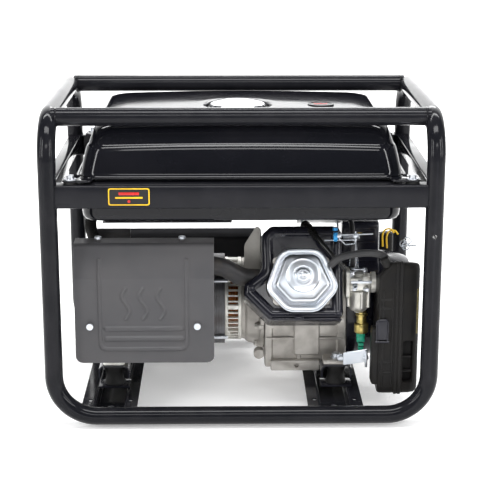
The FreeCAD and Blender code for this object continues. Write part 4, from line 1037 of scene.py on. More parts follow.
def press_shield(columns=170, sheet=1.8, corner=13.0):
    """The shield as a fine grid: each point is moved along the fold's normal by the embossing."""
    bm = bmesh.new()
    profile = shield_profile()
    rows = []
    for i, point in enumerate(profile):
        before, after = profile[max(i - 1, 0)], profile[min(i + 1, len(profile) - 1)]
        tangent = (after - before).normalized()
        normal = Vector((-tangent.y, tangent.x, 0))
        rise = point.y - shield_low.z
        nip = corner - math.sqrt(max(0.0, corner ** 2 - (corner - rise) ** 2)) if rise < corner else 0
        left, right = shield_low.x + nip, shield_high.x - nip
        row = []
        for k in range(columns + 1):
            x = left + (right - left) * k / columns
            out = emboss_height(x, point.y) if point.y < FRAME_TOP + 12 and point.x < -195 else 0.0
            row.append(tuple(Vector((x, point.x + normal.x * (out + back),
                                     point.y + normal.y * (out + back)))
                             for back in (0.0, -sheet)))
        rows.append(row)
    front = [[bm.verts.new(cell[0]) for cell in row] for row in rows]
    back = [[bm.verts.new(cell[1]) for cell in row] for row in rows]
    for i in range(len(rows) - 1):
        for k in range(columns):
            bm.faces.new((front[i][k], front[i][k + 1], front[i + 1][k + 1], front[i + 1][k]))
            bm.faces.new((back[i][k], back[i + 1][k], back[i + 1][k + 1], back[i][k + 1]))
        for k, flip in ((0, False), (columns, True)):
            loop = (front[i][k], front[i + 1][k], back[i + 1][k], back[i][k])
            bm.faces.new(tuple(reversed(loop)) if flip else loop)
    for row, flip in ((0, True), (len(rows) - 1, False)):
        for k in range(columns):
            loop = (front[row][k], front[row][k + 1], back[row][k + 1], back[row][k])
            bm.faces.new(tuple(reversed(loop)) if flip else loop)
    return bm


bm = press_shield()
for x in SHIELD_BOLTS_X:
    soft_rod(bm, (x, -214.5, SHIELD_BOLT_Z), BACK, 12.5, 6.0)
for x in (-255.0, -106.0):
    soft_rod(bm, (x, -178, 317), UP, 14.5, 6.0)
piece("heat_shield_pressing", bm, "frame", "shield_paint", ["muffler_heat_shield"], sharp=32)
print("shield pressed")

# %% [markdown]
# ## Muffler and exhaust pipe
#
# Behind the shield is a plain canister: a wrapped skin with a rolled seam at each end and a pressed end
# cap. The pipe comes down from the cylinder in two easy bends and ends in a bolted flange.

# %% Canister
muffler_low, muffler_high = span("muffler")
body_left, body_right = muffler_low.x + 10, muffler_high.x
middle_y, middle_z = (muffler_low.y + muffler_high.y) / 2, (muffler_low.z + muffler_high.z) / 2
half_y, half_z = (muffler_high.y - muffler_low.y) / 2, (muffler_high.z - muffler_low.z) / 2
CAN = [(0, -14), (0.5, -7), (3, -4.2), (6, -3.6), (7, -1.2), (9, 0), (12.5, 0), (14.5, -1.2),
       (15.2, -2.6), (18, -3.0)]
bm = bmesh.new()
length = body_right - body_left
levels = CAN + [(length - along, inset) for along, inset in reversed(CAN)]
rings = []
for along, inset in levels:
    outline = rounded_rectangle(half_y + inset, half_z + inset, 40 + inset, centre=(middle_y, middle_z))
    rings.append(ring(bm, [(body_left + along, p.x, p.y) for p in outline]))
bridge(bm, rings)
turned_part(bm, (body_left + 4, middle_y, 190), LEFT,
            [(0, 14), (13, 14), (13.9, 13.4), (13.9, 12), (3, 12), (3, 0)], 36)
for x in (body_left + 60, body_right - 60):
    outline = rounded_rectangle(half_y - 2.0, half_z - 2.0, 39, centre=(middle_y, middle_z))
    strap = [ring(bm, [(x + dx, middle_y + (p.x - middle_y) * s, middle_z + (p.y - middle_z) * s)
                       for p in outline]) for dx, s in ((-9, 0.985), (-8, 1.0), (8, 1.0), (9, 0.985))]
    bridge(bm, strap, close_ends=False)
piece("muffler_canister", bm, "frame", "exhaust_steel", ["muffler"])

# %% Exhaust pipe and flange
PIPE_R = 17.0
bm = bmesh.new()
pipe_line = smooth_route([(52, -134, 246), (26, -134, 247), (2, -135, 250), (-16, -138, 260),
                          (-36, -142, 271), (-66, -146, 277)], 8)
tube(bm, pipe_line, PIPE_R, 32)
turned_part(bm, (-63, -146, 277), (-1, 0.02, 0), [(0, 20), (0.8, 21), (3, 21), (3.6, 20)], 36)
flange = rounded_outline([(-158, 228), (-110, 228), (-104, 246), (-110, 266), (-158, 266),
                          (-164, 246)], 8)
plate(bm, flange, facing_x, 40, 46, 0.8)
piece("exhaust_pipe_bent", bm, "frame", "exhaust_steel", ["exhaust_pipe"])
print("exhaust built")

# %% [markdown]
# ## Cylinder head, rocker cover and shroud
#
# The cylinder leans back, so everything on it is drawn upright about the crank and then tilted in one
# go. The rocker cover is the brightest part of the machine: a thin pressing in bright zinc with a broad
# flat rim, a steep wall and a dome that dips again to a round seat for its centre bolt. The shroud
# around it is a deep black pressing whose rolled lip catches the light.

# %% The leaning frame of the cylinder
CRANK = Vector((0, 10, 165))
TILT = Matrix.Translation(CRANK) @ Matrix.Rotation(math.radians(-26), 4, "X")
BORE_X = 108.0


def on_axis(x, radius, degrees):
    """A point around the crank's axis."""
    angle = math.radians(degrees)
    return Vector((x, CRANK.y + radius * math.cos(angle), CRANK.z + radius * math.sin(angle)))


def axis_rings(bm, profile, sides=96):
    """Rings around the crank's axis from a profile of (x, radius)."""
    return [ring(bm, [on_axis(x, radius, 360 * i / sides) for i in range(sides)])
            for x, radius in profile]


# %% Outline of the rocker cover
COVER_OUTLINE = [(-38, 57.5), (38, 57.5), (69, -14), (30, -57.5), (-27, -57.5), (-65, -16)]
COVER_CORNERS = [34, 34, 24, 30, 30, 24]


def cover_loop(shrink):
    """The cover's outline, moved in evenly and with its corners rounded."""
    moved = moved_in(COVER_OUTLINE, -shrink, sharpest=0.3)
    outline = rounded_outline(moved, [max(8, r - shrink) for r in COVER_CORNERS], 9)
    even = []
    for i, here in enumerate(outline):
        even.append(Vector(here))
        if i % 10 == 9:
            ahead = Vector(outline[(i + 1) % len(outline)])
            even += [Vector(here).lerp(ahead, k / 9) for k in range(1, 9)]
    return even


# %% Rocker cover
COVER_LEVELS = [(0.0, -201.0), (-0.6, -201.8), (-0.6, -206.4), (0.4, -207.4), (1.6, -207.8),
                (9.6, -207.8), (11.0, -207.0), (12.0, -207.0), (12.8, -208.6), (13.6, -222.0),
                (14.4, -225.6), (16.0, -228.0), (18.6, -229.4), (22.0, -230.0)]
bm = bmesh.new()
rings = []
for shrink, y in COVER_LEVELS:
    rings.append(ring(bm, [(BORE_X + p.x, y, p.y) for p in cover_loop(shrink)]))
centre = Vector((BORE_X + 2, 0, 4))
flat = [p - Vector((2, 0)) for p in cover_loop(22.0)]
for radius, y in ((31.0, -230.6), (29.6, -229.4), (27.0, -228.6), (20.0, -226.8), (15.0, -226.2),
                  (13.6, -227.0), (12.8, -229.4), (11.6, -230.2), (10.0, -230.4), (0.05, -230.4)):
    points = []
    for p in flat:
        aim = (p - Vector((0, 4))).normalized()
        points.append((centre.x + aim.x * radius, y, centre.z + aim.y * radius))
    rings.append(ring(bm, points))
bridge(bm, rings)
turned_part(bm, (centre.x, -230.2, centre.z), FRONT,
            [(0, 8.4), (1.2, 8.4), (1.8, 7.6), (2.0, 6.4), (5.4, 6.2), (6.6, 5.0), (7.0, 3.0),
             (7.0, 0)], 32)
piece("rocker_cover_pressing", bm, "frame", "zinc", ["rocker_cover"], sharp=40, turn=TILT)

# %% Finned cylinder head
bm = bmesh.new()
soft_block(bm, (BORE_X - 50, -198, -45), (BORE_X + 50, -100, 45), 6, 3)
fin_plate = rounded_outline(rectangle(BORE_X - 58, BORE_X + 58, -45.5, 45.5), 9)
for y in range(-187, -103, 9):
    plate(bm, fin_plate, facing_plus_y, y, y + 3.0, 0.9)
gasket_face = [(BORE_X + p.x * 0.92, p.y * 0.78) for p in cover_loop(3.0)]
plate(bm, gasket_face, facing_plus_y, -200.4, -192, 0.8)
for x, z in ((-44, 36), (44, 36), (44, -36), (-44, -36)):
    soft_rod(bm, (BORE_X + x, -199, z), BACK, 96, 7.5)
casting = piece("cylinder_head_casting", bm, "frame", "cast_aluminium", ["cylinder_head"],
                turn=TILT)
bore = bmesh.new()
turned_part(bore, (BORE_X, -179, 0), BACK, [(0, 44.3), (90, 44.3)], 64)
bmesh.ops.transform(bore, matrix=TILT, verts=bore.verts)
drill(casting, bore, overlapping=True)

# %% Shroud
SHROUD = [(50, -70), (177, -70), (184, -58), (184, 90), (172, 103), (54, 103), (36, 86), (38, 20),
          (6, -4), (4, -24)]
SHROUD_CORNERS = [14, 8, 10, 12, 14, 16, 20, 26, 9, 10]
opening = [(BORE_X + p.x, p.y) for p in cover_loop(-2.0)]


def shroud_loop(inset):
    """The shroud's outline, moved in evenly and with its corners rounded."""
    moved = moved_in(SHROUD, inset, sharpest=0.5)
    return rounded_outline(moved, [max(4, r - inset * 0.6) for r in SHROUD_CORNERS], 6)


bm = bmesh.new()
OUTER = [(0.0, -113.0), (0.0, -184.0), (0.4, -188.0), (1.6, -191.4), (4.0, -193.8), (7.0, -195.2),
         (11.0, -195.8), (15.0, -195.2), (18.0, -193.4), (20.0, -191.6), (21.5, -190.9)]
INNER = [(21.5, -188.6), (18.0, -190.4), (11.0, -193.2), (6.0, -192.0), (3.0, -188.0), (2.4, -184.0),
         (2.4, -113.0)]
rings = [ring(bm, [(p.x, y, p.y) for p in shroud_loop(inset)]) for inset, y in OUTER + INNER]
bridge(bm, rings, close_ends=False, close_loop=True)
piece("cooling_shroud_rim", bm, "frame", "black_sheet", ["cylinder_shroud"], sharp=45, turn=TILT)

bm = bmesh.new()
plate(bm, shroud_loop(20.5), facing_plus_y, -190.9, -188.6, 0.4)
face = piece("cooling_shroud_face", bm, "frame", "black_sheet", sharp=45, turn=TILT)
cut = bmesh.new()
plate(cut, opening, facing_plus_y, -196, -184, 0)
bmesh.ops.transform(cut, matrix=TILT, verts=cut.verts)
drill(face, cut)

bm = bmesh.new()
for x, z in ((173, 92), (175, -60), (20, -13)):
    hex_head(bm, (x, -194.8, z), FRONT, 8, 4.4, 6.4)
soft_block(bm, (95, -197.5, -70), (112, -193, -64), 1.2)
soft_block(bm, (55, -198.2, -71.5), (180, -150, -68.8), 1.0)
piece("cooling_shroud_beads", bm, "frame", "black_sheet", sharp=40, turn=TILT)
print("cylinder built")

# %% [markdown]
# ## Crankcase
#
# The crankcase is a sand casting: thick walls, round edges, a machined parting flange with a ring of
# bolts, stiffening ribs and a round boss. Its cover on the alternator side is a turned-looking disc
# with its own bolts. Casting detail is what makes it read as metal and not as a grey box.

# %% Crankcase casting
bm = bmesh.new()
CASE_MIDDLE = Vector((5, 151))
outline = rounded_outline(rectangle(-85, 95, 52, 250), 22, 8)
LEVELS = [(45, 5), (45.8, 1.5), (48, 0), (58, 0), (60, -2.4), (104, -2.4), (106, 0), (112, 0),
          (114, -2.4), (180, -2.4), (183, 0), (192, 0), (197, 0.5), (198, 3)]
rings = []
for x, inset in LEVELS:
    points = []
    for p in outline:
        way = p - CASE_MIDDLE
        points.append((x, p.x - math.copysign(min(abs(way.x), abs(inset)), way.x),
                       p.y - math.copysign(min(abs(way.y), abs(inset)), way.y)))
    rings.append(ring(bm, points))
bridge(bm, rings)
plate(bm, rounded_outline(rectangle(100, 148, 82, 150), 6), facing_minus_y, 84.0, 88.4, 2.0)
hex_head(bm, (58, -85.4, 140), FRONT, 8, 4, 6)
soft_rod(bm, (34, -70, 84), FRONT, 18, 10, 1.6, 32)
soft_rod(bm, (34, -86, 84), FRONT, 5, 6, 1.0, 28)
for z in (78, 118, 150):
    hex_head(bm, (188, -84.6, z), FRONT, 10, 5, 7.4)
for side in (-1, 1):
    y = side * MOUNT_Y
    foot = rounded_outline(rectangle(152, 206, y - MOUNT_HALF_Y, y + MOUNT_HALF_Y), 9, 6)
    plate(bm, foot, facing_z, 80, 88, 1.4)
    inner = side * 78
    for x in (160, 194):
        plate(bm, [(inner, 84), (y + side * 12, 84), (inner, 122)], facing_x, x, x + 6, 1.0)
plate(bm, rounded_outline(rectangle(56, 148, 52.6, 73), 3), facing_minus_y, 84, 93, 1.4)
soft_block(bm, (46, -86.8, 112), (197, -84, 117), 1.4, 3)
casting = piece("crankcase_casting", bm, "frame", "cast_aluminium", ["crankcase"], sharp=42)

hole = bmesh.new()
turned_part(hole, (105, -86, 63), FRONT, [(0, 4.2), (12, 4.2)], 24)
drill(casting, hole)

# %% Crankcase cover and its bolts
bm = bmesh.new()
turned_part(bm, (44.5, CRANK.y, CRANK.z), LEFT,
            [(0, 95), (0.8, 97), (7, 97), (8.5, 95.5), (9, 91), (11, 88.5), (30, 85), (34, 82.5),
             (36, 79), (42, 78), (42.5, 60), (42.5, 0)], 96)
for step in range(10):
    angle = 18 + 36 * step
    soft_rod(bm, on_axis(44, 91, angle), LEFT, 12, 8.2, 1.2, 24)
    hex_head(bm, on_axis(32, 91, angle), LEFT, 10, 5, 7.4)
for step in range(12):
    tube(bm, [on_axis(6, 60, 30 * step), on_axis(17, 84, 30 * step)], 2.6, 10)
piece("crankcase_end_cover", bm, "frame", "cast_aluminium", ["crankcase_cover"], sharp=42)
print("crankcase built")

# %% [markdown]
# ## Alternator
#
# The alternator is a stack of punched steel sheets clamped between two die-cast bells by four long
# bolts. Air leaves through a fence of slots in the front bell, so the bell is built as a row of thin
# rings and bars with real gaps, and the copper winding shows through them.

# %% Front bell with its louvres
def hoop_ring(bm, start, end, inner, outer, soften=1.0, sides=96):
    """A ring around the crank axis with rounded edges."""
    profile = [(inner, start), (outer - soften, start), (outer, start + soften), (outer, end - soften),
               (outer - soften, end), (inner, end)]
    bridge(bm, axis_rings(bm, [(x, radius) for radius, x in profile], sides), close_ends=False,
           close_loop=True)


def cross_bar(bm, near, far, side, x0, x1, taper=1.0):
    """A bar drawn out along x, whose section runs from near to far and is side wide each way."""
    corners = [near - side, far - side * taper, far + side * taper, near + side]
    bridge(bm, [ring(bm, [(x, c.y, c.z) for c in corners]) for x in (x0, x1)])


bell_low, bell_high = span("alternator_front_bell")
bell_r = (bell_high.z - bell_low.z) / 2
bm = bmesh.new()
hoop_ring(bm, bell_low.x, bell_low.x + 6.5, 60, bell_r)
hoop_ring(bm, bell_high.x - 7, bell_high.x, 40, bell_r)
for step in range(45):
    angle = 360 * step / 45
    near, far = on_axis(0, bell_r - 7, angle), on_axis(0, bell_r - 0.6, angle)
    side = Vector((0, -(far - near).z, (far - near).y)).normalized() * 1.7
    if step % 11 == 0:
        side = side * 3.0
    cross_bar(bm, near, far, side, bell_low.x + 5.5, bell_high.x - 6, taper=0.75)
for angle in (45, 135, 225, 315):
    place = on_axis(bell_low.x + 1, bell_r - 8, angle)
    soft_rod(bm, place, RIGHT, 10, 7.5, 1.0)
piece("alternator_louvred_bell", bm, "frame", "bell_aluminium", ["alternator_front_bell"], sharp=35)

bm = bmesh.new()
for layer in range(5):
    layer_x, layer_r = -26 + 5 * layer, 64 + 2 * (layer % 2)
    points = [on_axis(layer_x + 1.2 * math.sin(math.radians(11 * k)), layer_r, k * 3.6)
              for k in range(100)]
    tube(bm, points, 3.6, 10, closed=True)
piece("stator_winding_end", bm, "frame", "copper")

# %% Stator stack with its clamp bolts
stack_low, stack_high = span("stator_core")
bm = bmesh.new()
STATOR_BORE, SHEETS = 77.0, 44
sheet_edges = []
pitch = (stack_high.x - stack_low.x) / SHEETS
for k in range(SHEETS):
    x = stack_low.x + k * pitch
    sheet_edges += [(x + 0.1, 86.0), (x + 0.5, 87.0), (x + pitch - 0.6, 87.0), (x + pitch - 0.2, 86.0)]
sheet_edges += [(stack_high.x, STATOR_BORE), (stack_low.x, STATOR_BORE)]
bridge(bm, axis_rings(bm, sheet_edges, 64), close_ends=False, close_loop=True)
piece("stator_sheet_stack", bm, "frame", "laminations", ["stator_core"], sharp=30)
bm = bmesh.new()
CLAMP_ANGLES = (38, 142, 218, 322)
for angle in CLAMP_ANGLES:
    place = on_axis(stack_low.x - 6, 90.5, angle)
    soft_rod(bm, place, RIGHT, stack_high.x - stack_low.x + 12, 3.4, 0.5, 16)
    hex_head(bm, place, LEFT, 10, 6, 8)
piece("alternator_clamp_bolts", bm, "frame", "zinc")

# %% End bell
end_low, end_high = span("alternator_end_bell")
bm = bmesh.new()
BELL = [(end_high.x, STATOR_BORE), (end_high.x, 86.5), (end_high.x - 1.2, 87.6),
        (end_high.x - 10, 87.6), (end_high.x - 12, 86.5), (end_high.x - 13, 80),
        (end_low.x + 22, 79.2), (end_low.x + 8, 76), (end_low.x + 2.5, 68), (end_low.x + 0.6, 58),
        (end_low.x, 40), (end_low.x, 30), (end_low.x + 3, 28), (end_low.x + 3, 0.05)]
bridge(bm, axis_rings(bm, BELL))
for angle in CLAMP_ANGLES:
    soft_rod(bm, on_axis(end_high.x - 13, 84, angle), RIGHT, 12.5, 9, 1.2, 28)
beam = rounded_outline(rectangle(-256, -216, -138, 138), 8)
plate(bm, beam, facing_z, 80, 88, 1.4)
for side in (-1, 1):
    for x in (-250, -228):
        plate(bm, [(side * 45, 84), (side * 126, 84), (side * 62, 124)], facing_x, x, x + 6, 1.0)
for step in range(16):
    angle = 22.5 * step
    tube(bm, [on_axis(end_low.x + 1.6, 34, angle), on_axis(end_low.x + 2.4, 62, angle)], 2.0, 10)
piece("alternator_end_casting", bm, "frame", "bell_aluminium", ["alternator_end_bell"], sharp=40)
print("alternator built, bell radius", round(bell_r))

# %% [markdown]
# ## Air cleaner and carburettor
#
# The air cleaner is a moulded box: soft edges, a split line with a lip, shallow ribs and a spring clip
# of bent wire. The carburettor is a small casting crowded with fittings. Its charm is the mix of
# finishes, so each fitting is its own piece with its own metal.

# %% Air cleaner
def cleaner_loop(inset, drop):
    """Side outline of the air cleaner as (y, z); its top slopes to the back and is drop lower."""
    low_y, high_y, low_z, high_z = -198 + inset, -104 - inset, 44 + inset, 296 - inset - drop
    corners = [(low_y, low_z), (high_y, low_z + 4), (high_y, high_z - 32), (low_y, high_z)]
    return rounded_outline(corners, 11, 6)


def moulding(bm, levels):
    """Sections along x. Left of the split line the top is cut down to clear the carburettor's arm."""
    rings = [ring(bm, [(x, p.x, p.y) for p in cleaner_loop(inset, max(0.0, 270 - x) * 1.1)])
             for x, inset in levels]
    bridge(bm, rings)


bm = bmesh.new()
moulding(bm, [(246.4, 5.0), (246.4, 2.6), (248, 0.8), (251, 0.2), (256, 0), (262, 0), (266, 0),
              (270, 0), (276, 0), (277, -0.4), (277, -1.9), (281, -1.9), (281.6, -1.3), (283.8, -1.3),
              (283.8, 3)])
for z in (84, 104, 206, 222):
    soft_block(bm, (250, -199.2, z), (274, -196, z + 5), 1.3)
for x in (252.5, 270.0):
    soft_block(bm, (x, -199.4, 58), (x + 3.5, -196, 242), 1.2)
soft_block(bm, (235, -197.5, 62), (249, -165, 168), 5.0, 3)
soft_rod(bm, (262, -186, 283), (-0.5, 0, 1), 17, 8.2, 1.0)
piece("air_cleaner_body", bm, "frame", "black_plastic", ["air_cleaner_case"], sharp=40)

bm = bmesh.new()
moulding(bm, [(284, 3), (284, -1.9), (288.4, -1.9), (289.2, -1.0), (289.6, 0), (304, 0.4), (313, 1.6),
              (317.4, 4.0), (319.4, 7.6), (320, 12)])
for z in (72, 92, 112, 132, 152, 172, 192, 212, 232):
    soft_block(bm, (318.6, -186, z), (319.9, -118, z + 7), 0.6)
lid = piece("air_cleaner_lid", bm, "frame", "black_plastic", ["air_cleaner_cover"], sharp=40)
cut = bmesh.new()
soft_block(cut, (291.5, -202, 66), (310, -180, 147), 4.5, 3)
drill(lid, cut)
# Painted shade: a near-black plate with two bars at the bottom of the slot, so the pocket reads as the
# shade inside the intake.
bm = bmesh.new()
soft_block(bm, (291, -181, 64), (311, -178, 149), 1)
for z in (84, 112):
    soft_block(bm, (292, -190, z), (309, -180, z + 3), 0.8)
piece("air_cleaner_intake_grille_painted_shade", bm, "frame", "black_print_and_painted_shade")

bm = bmesh.new()
CLIP_Y, CLIP_FOOT, CLIP_TOP = -202.4, 146, 188
clip = bend_route([(243, CLIP_Y, CLIP_FOOT), (242.8, CLIP_Y, CLIP_TOP), (263.2, CLIP_Y, CLIP_TOP),
                   (263, CLIP_Y, CLIP_FOOT)], 6, 6)
tube(bm, clip, 1.5, 12)
soft_rod(bm, (240.2, CLIP_Y, CLIP_FOOT), RIGHT, 25.6, 2.1, 0.5, 16)
soft_block(bm, (244, -204.6, 150), (262, -200.6, CLIP_TOP), 1.6, 3)
piece("air_cleaner_wire_clip", bm, "air_cleaner_clip", "black_sheet", ["air_cleaner_clip"])

# %% Carburettor body
CARB_X, CARB_Y = 216, -132
SOLENOID_X, CHOKE_X = 222, 226
GOVERNOR_Y, GOVERNOR_Z = -76, 240
bm = bmesh.new()
soft_block(bm, (196, -151.5, 224.5), (238, -112.5, 251.5), 5, 3)
flange = [(-150, 212), (-114, 212), (-108, 238), (-114, 264), (-150, 264), (-156, 238)]
plate(bm, rounded_outline(flange, 8), facing_x, 190, 198, 1.4)
turned_part(bm, (236, CARB_Y, 238), RIGHT, [(0, 15), (1, 19), (6, 19.4), (9.5, 19.4), (10, 16),
                                              (3, 14.5), (3, 0)], 40)
soft_rod(bm, (206, -151, 240), FRONT, 7, 5.5, 0.8, 24)
soft_rod(bm, (228, -151, 233), FRONT, 9, 4.4, 0.8, 24)
soft_rod(bm, (CARB_X, CARB_Y, 250), UP, 6.5, 9.5, 1.2, 32)
soft_block(bm, (221, -153, 243), (235, -140, 254), 2.0)
piece("carburettor_casting", bm, "frame", "bell_aluminium", ["carburettor"], sharp=40)

bm = bmesh.new()
turned_part(bm, (CARB_X, CARB_Y, 224.5), DOWN,
            [(0, 22), (0.6, 23), (3.4, 23), (4, 22), (6, 21.4), (26, 20.6), (34, 18.6), (39, 13.5),
             (41.5, 8.5), (43, 8), (43, 0)], 48)
for angle in (40, 160, 280):
    x = CARB_X + 21.4 * math.cos(math.radians(angle))
    y = CARB_Y - 21.4 * abs(math.sin(math.radians(angle)))
    soft_rod(bm, (x, y, 226), DOWN, 32, 3.4, 0.8, 16)
piece("float_bowl", bm, "frame", "bell_aluminium")
bm = bmesh.new()
for x, z in ((206, 231), (226, 231)):
    hex_head(bm, (x, -152, z), FRONT, 5.5, 3.4, 4.2)
hex_head(bm, (228, -160, 233), FRONT, 7, 4)
for z in (218, 258):
    hex_head(bm, (198, CARB_Y - 17 * (z > 230), z), RIGHT, 10, 6, 7.5)
tube(bm, coil_line((206, -158, 240), FRONT, 3.6, 90, 12, 0.13), 0.75, 8)
soft_block(bm, (198, -168, 246), (236, -165.6, 251), 0.8)
soft_block(bm, (212, -166, 246), (220, -150, 248.6), 0.8)
piece("carburettor_screws", bm, "frame", "zinc")

# %% Fuel cut-off solenoid with its connector
bm = bmesh.new()
turned_part(bm, (SOLENOID_X, CARB_Y, 182), DOWN,
            [(0, 9), (3, 9.2), (4, 11), (7, 11), (8, 9.2), (21, 9.2), (22.5, 12.4), (23.5, 13),
             (38.5, 13), (40, 12), (40.6, 9), (40.6, 0)], 40)
piece("fuel_solenoid_body", bm, "frame", "brass", ["fuel_solenoid"])
bm = bmesh.new()
soft_block(bm, (213, -145, 126), (228, -128, 142), 1.8, 3)
soft_block(bm, (215, -147, 129), (226, -144, 139), 1.0)
for z in (110, 118):
    soft_block(bm, (216, -144, z), (226, -131, z + 6), 1.2)
piece("solenoid_connector", bm, "frame", "teal")
bm = bmesh.new()
for dx, dy in ((0, 0), (4, 2)):
    tube(bm, smooth_route([(219 + dx, -137 + dy, 128), (219 + dx, -138 + dy, 112), (222 + dx, -126, 98),
                           (226, -112 + dy, 96)]), 1.5, 10)
piece("solenoid_wires", bm, "frame", "hose_rubber")

# %% Choke lever and governor lever
bm = bmesh.new()
turned_part(bm, (CHOKE_X, CARB_Y, 257.7), UP, [(0, 4.5), (0.6, 5.2), (4, 5.2), (4.4, 4), (7.8, 4),
                                                (7.8, 0)], 28)
plate(bm, rounded_outline([(200.5, -136), (228, -137.5), (228, -126.5), (200.5, -128.5)], 3.5),
      facing_z, 262.2, 264.2, 0.5)
soft_rod(bm, (204, CARB_Y, 263.8), UP, 1.6, 3.4, 0.4, 20)
piece("choke_lever_plate", bm, "choke_lever", "zinc", ["choke_lever"])

bm = bmesh.new()
strip = rounded_outline([(-83.5, 236.5), (-72.5, 236.5), (-74, 309.5), (-82, 309.5)], 3)
plate(bm, strip, facing_x, 212.2, 214.8, 0.5)
soft_rod(bm, (198.6, GOVERNOR_Y, GOVERNOR_Z), RIGHT, 21.6, 3.4, 0.6, 24)
hex_head(bm, (215, GOVERNOR_Y, GOVERNOR_Z), RIGHT, 8, 4)
piece("governor_lever_plate", bm, "governor_lever", "zinc", ["governor_lever"])
print("air cleaner and carburettor built")

# %% [markdown]
# ## Fan housing, recoil starter and rope
#
# Behind the air cleaner a black housing gathers the fan's air and leads it up to the cylinder. The pull
# starter sits on it: a spun cover with slots, a guide for the rope and a T-grip. The rope winds out of
# the guide to the grip; its piece rides on no body and stays where it is drawn.

# %% Fan housing and air duct
house_low, house_high = span("fan_housing")
bm = bmesh.new()
HOUSE = [(house_low.x, 96), (house_low.x, 105), (house_low.x + 2, 107.4), (house_low.x + 5, 108),
         (house_high.x - 8, 108), (house_high.x - 3, 106.6), (house_high.x - 0.6, 103),
         (house_high.x, 98), (house_high.x, 92)]
WALL = [(house_high.x - 3, 92), (house_high.x - 3, 101), (house_low.x + 3, 104), (house_low.x + 3, 96)]
bridge(bm, axis_rings(bm, HOUSE + WALL), close_ends=False, close_loop=True)
for step in range(4):
    angle = 45 + 90 * step
    soft_rod(bm, on_axis(house_low.x + 6, 101, angle), RIGHT, house_high.x - house_low.x - 9, 6.4)
piece("fan_housing_pressing", bm, "frame", "black_sheet", ["fan_housing"])
bm = bmesh.new()
duct = rounded_outline([(-50, 244), (86, 244), (86, 318), (60, 330), (-50, 330)], 12, 6)
rings = [ring(bm, [(x, 18 + (p.x - 18) * s, 287 + (p.y - 287) * s) for p in duct])
         for x, s in ((190, 0.95), (191.5, 0.99), (194, 1.0), (256, 1.0), (259, 0.98), (260, 0.94))]
bridge(bm, rings)
for z in (268, 290, 312):
    soft_block(bm, (198, -52.4, z), (252, -48, z + 4), 1.2)
piece("blower_duct", bm, "frame", "black_sheet")

# %% Recoil cover
recoil_low, recoil_high = span("recoil_cover")
bm = bmesh.new()
COVER = [(recoil_low.x, 88), (recoil_low.x, 94.4), (recoil_low.x + 2, 95), (recoil_low.x + 6, 94.6),
         (recoil_high.x - 22, 88), (recoil_high.x - 8, 83), (recoil_high.x - 2, 79),
         (recoil_high.x - 0.4, 74), (recoil_high.x, 68), (recoil_high.x, 30), (recoil_high.x - 1.4, 27),
         (recoil_high.x - 4, 25.6), (recoil_high.x - 4, 8)]
INSIDE = [(recoil_high.x - 6.5, 8), (recoil_high.x - 6.5, 27), (recoil_high.x - 3, 32),
          (recoil_high.x - 3, 72), (recoil_high.x - 11, 80), (recoil_low.x + 6, 91), (recoil_low.x, 88)]
bridge(bm, axis_rings(bm, COVER + INSIDE), close_ends=False, close_loop=True)
soft_block(bm, (277, 52, 203), (307, 101.8, 232), 4.5, 3)
hoop_ring(bm, recoil_high.x - 1.2, recoil_high.x - 0.1, 33, 36)
recoil = piece("recoil_spun_cover", bm, "frame", "black_sheet", ["recoil_cover"])
slots = bmesh.new()
for step in range(18):
    angle = 20 * step
    one, two = on_axis(recoil_high.x - 9, 46, angle), on_axis(recoil_high.x - 9, 68, angle + 7)
    way = (two - one).normalized()
    side = Vector((0, -way.z, way.y)) * 3.4
    cross_bar(slots, one, two, side, recoil_high.x - 6, recoil_high.x + 4)
drill(recoil, slots)
bm = bmesh.new()
for step in range(3):
    hex_head(bm, on_axis(recoil_low.x + 2.4, 90.0, 30 + 120 * step), RIGHT, 8, 4, 5.6)
hex_head(bm, (recoil_high.x - 4, CRANK.y, CRANK.z), RIGHT, 13, 3.6, 7.4)
piece("recoil_cover_bolts", bm, "frame", "zinc")

# %% Starter grip and braided rope
ROPE_X, ROPE_Z = 292.0, 218.0
bm = bmesh.new()
turned_part(bm, (ROPE_X, 102.6, ROPE_Z), BACK, [(0, 7.2), (0.8, 8), (6, 9), (11, 11.4),
                                                     (12.4, 12.4), (14, 12.8)], 36)
grip = rounded_outline([(114.6, 171), (134.6, 167), (134.6, 269), (114.6, 265)], 7, 6)
rings = [ring(bm, [(ROPE_X + x, 124.6 + (p.x - 124.6) * s, ROPE_Z + (p.y - ROPE_Z) * t) for p in grip])
         for x, s, t in ((-13.4, 0.62, 0.93), (-12.6, 0.80, 0.965), (-9.5, 0.96, 0.99), (-4, 1.0, 1.0),
                         (4, 1.0, 1.0), (9.5, 0.96, 0.99), (12.6, 0.80, 0.965), (13.4, 0.62, 0.93))]
bridge(bm, rings)
for z in range(176, 262, 7):
    if abs(z - ROPE_Z) > 12:
        soft_block(bm, (ROPE_X - 8, 133.4, z), (ROPE_X + 8, 135.0, z + 3.2), 0.7)
piece("starter_t_grip", bm, "starter_grip", "black_plastic", ["starter_handle"])

bm = bmesh.new()
for strand in range(3):
    line = []
    for k in range(121):
        y = 44 + (102.3 - 44) * k / 120
        angle = 2 * math.pi * (k / 9 + strand / 3)
        line.append((ROPE_X + 1.35 * math.cos(angle), y, ROPE_Z + 1.35 * math.sin(angle)))
    tube(bm, line, 1.6, 8)
rope_piece = piece("starter_rope_strands", bm, None, "rope", ["starter_rope"])
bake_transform(rope_piece)
print("starter built")

# %% [markdown]
# ## Control panel
#
# The panel faces the other side of the machine. Sockets are turned rings with a deep well and real pin
# holes, the voltmeter has a bezel, a scale and a needle, and the breaker and key switch move.

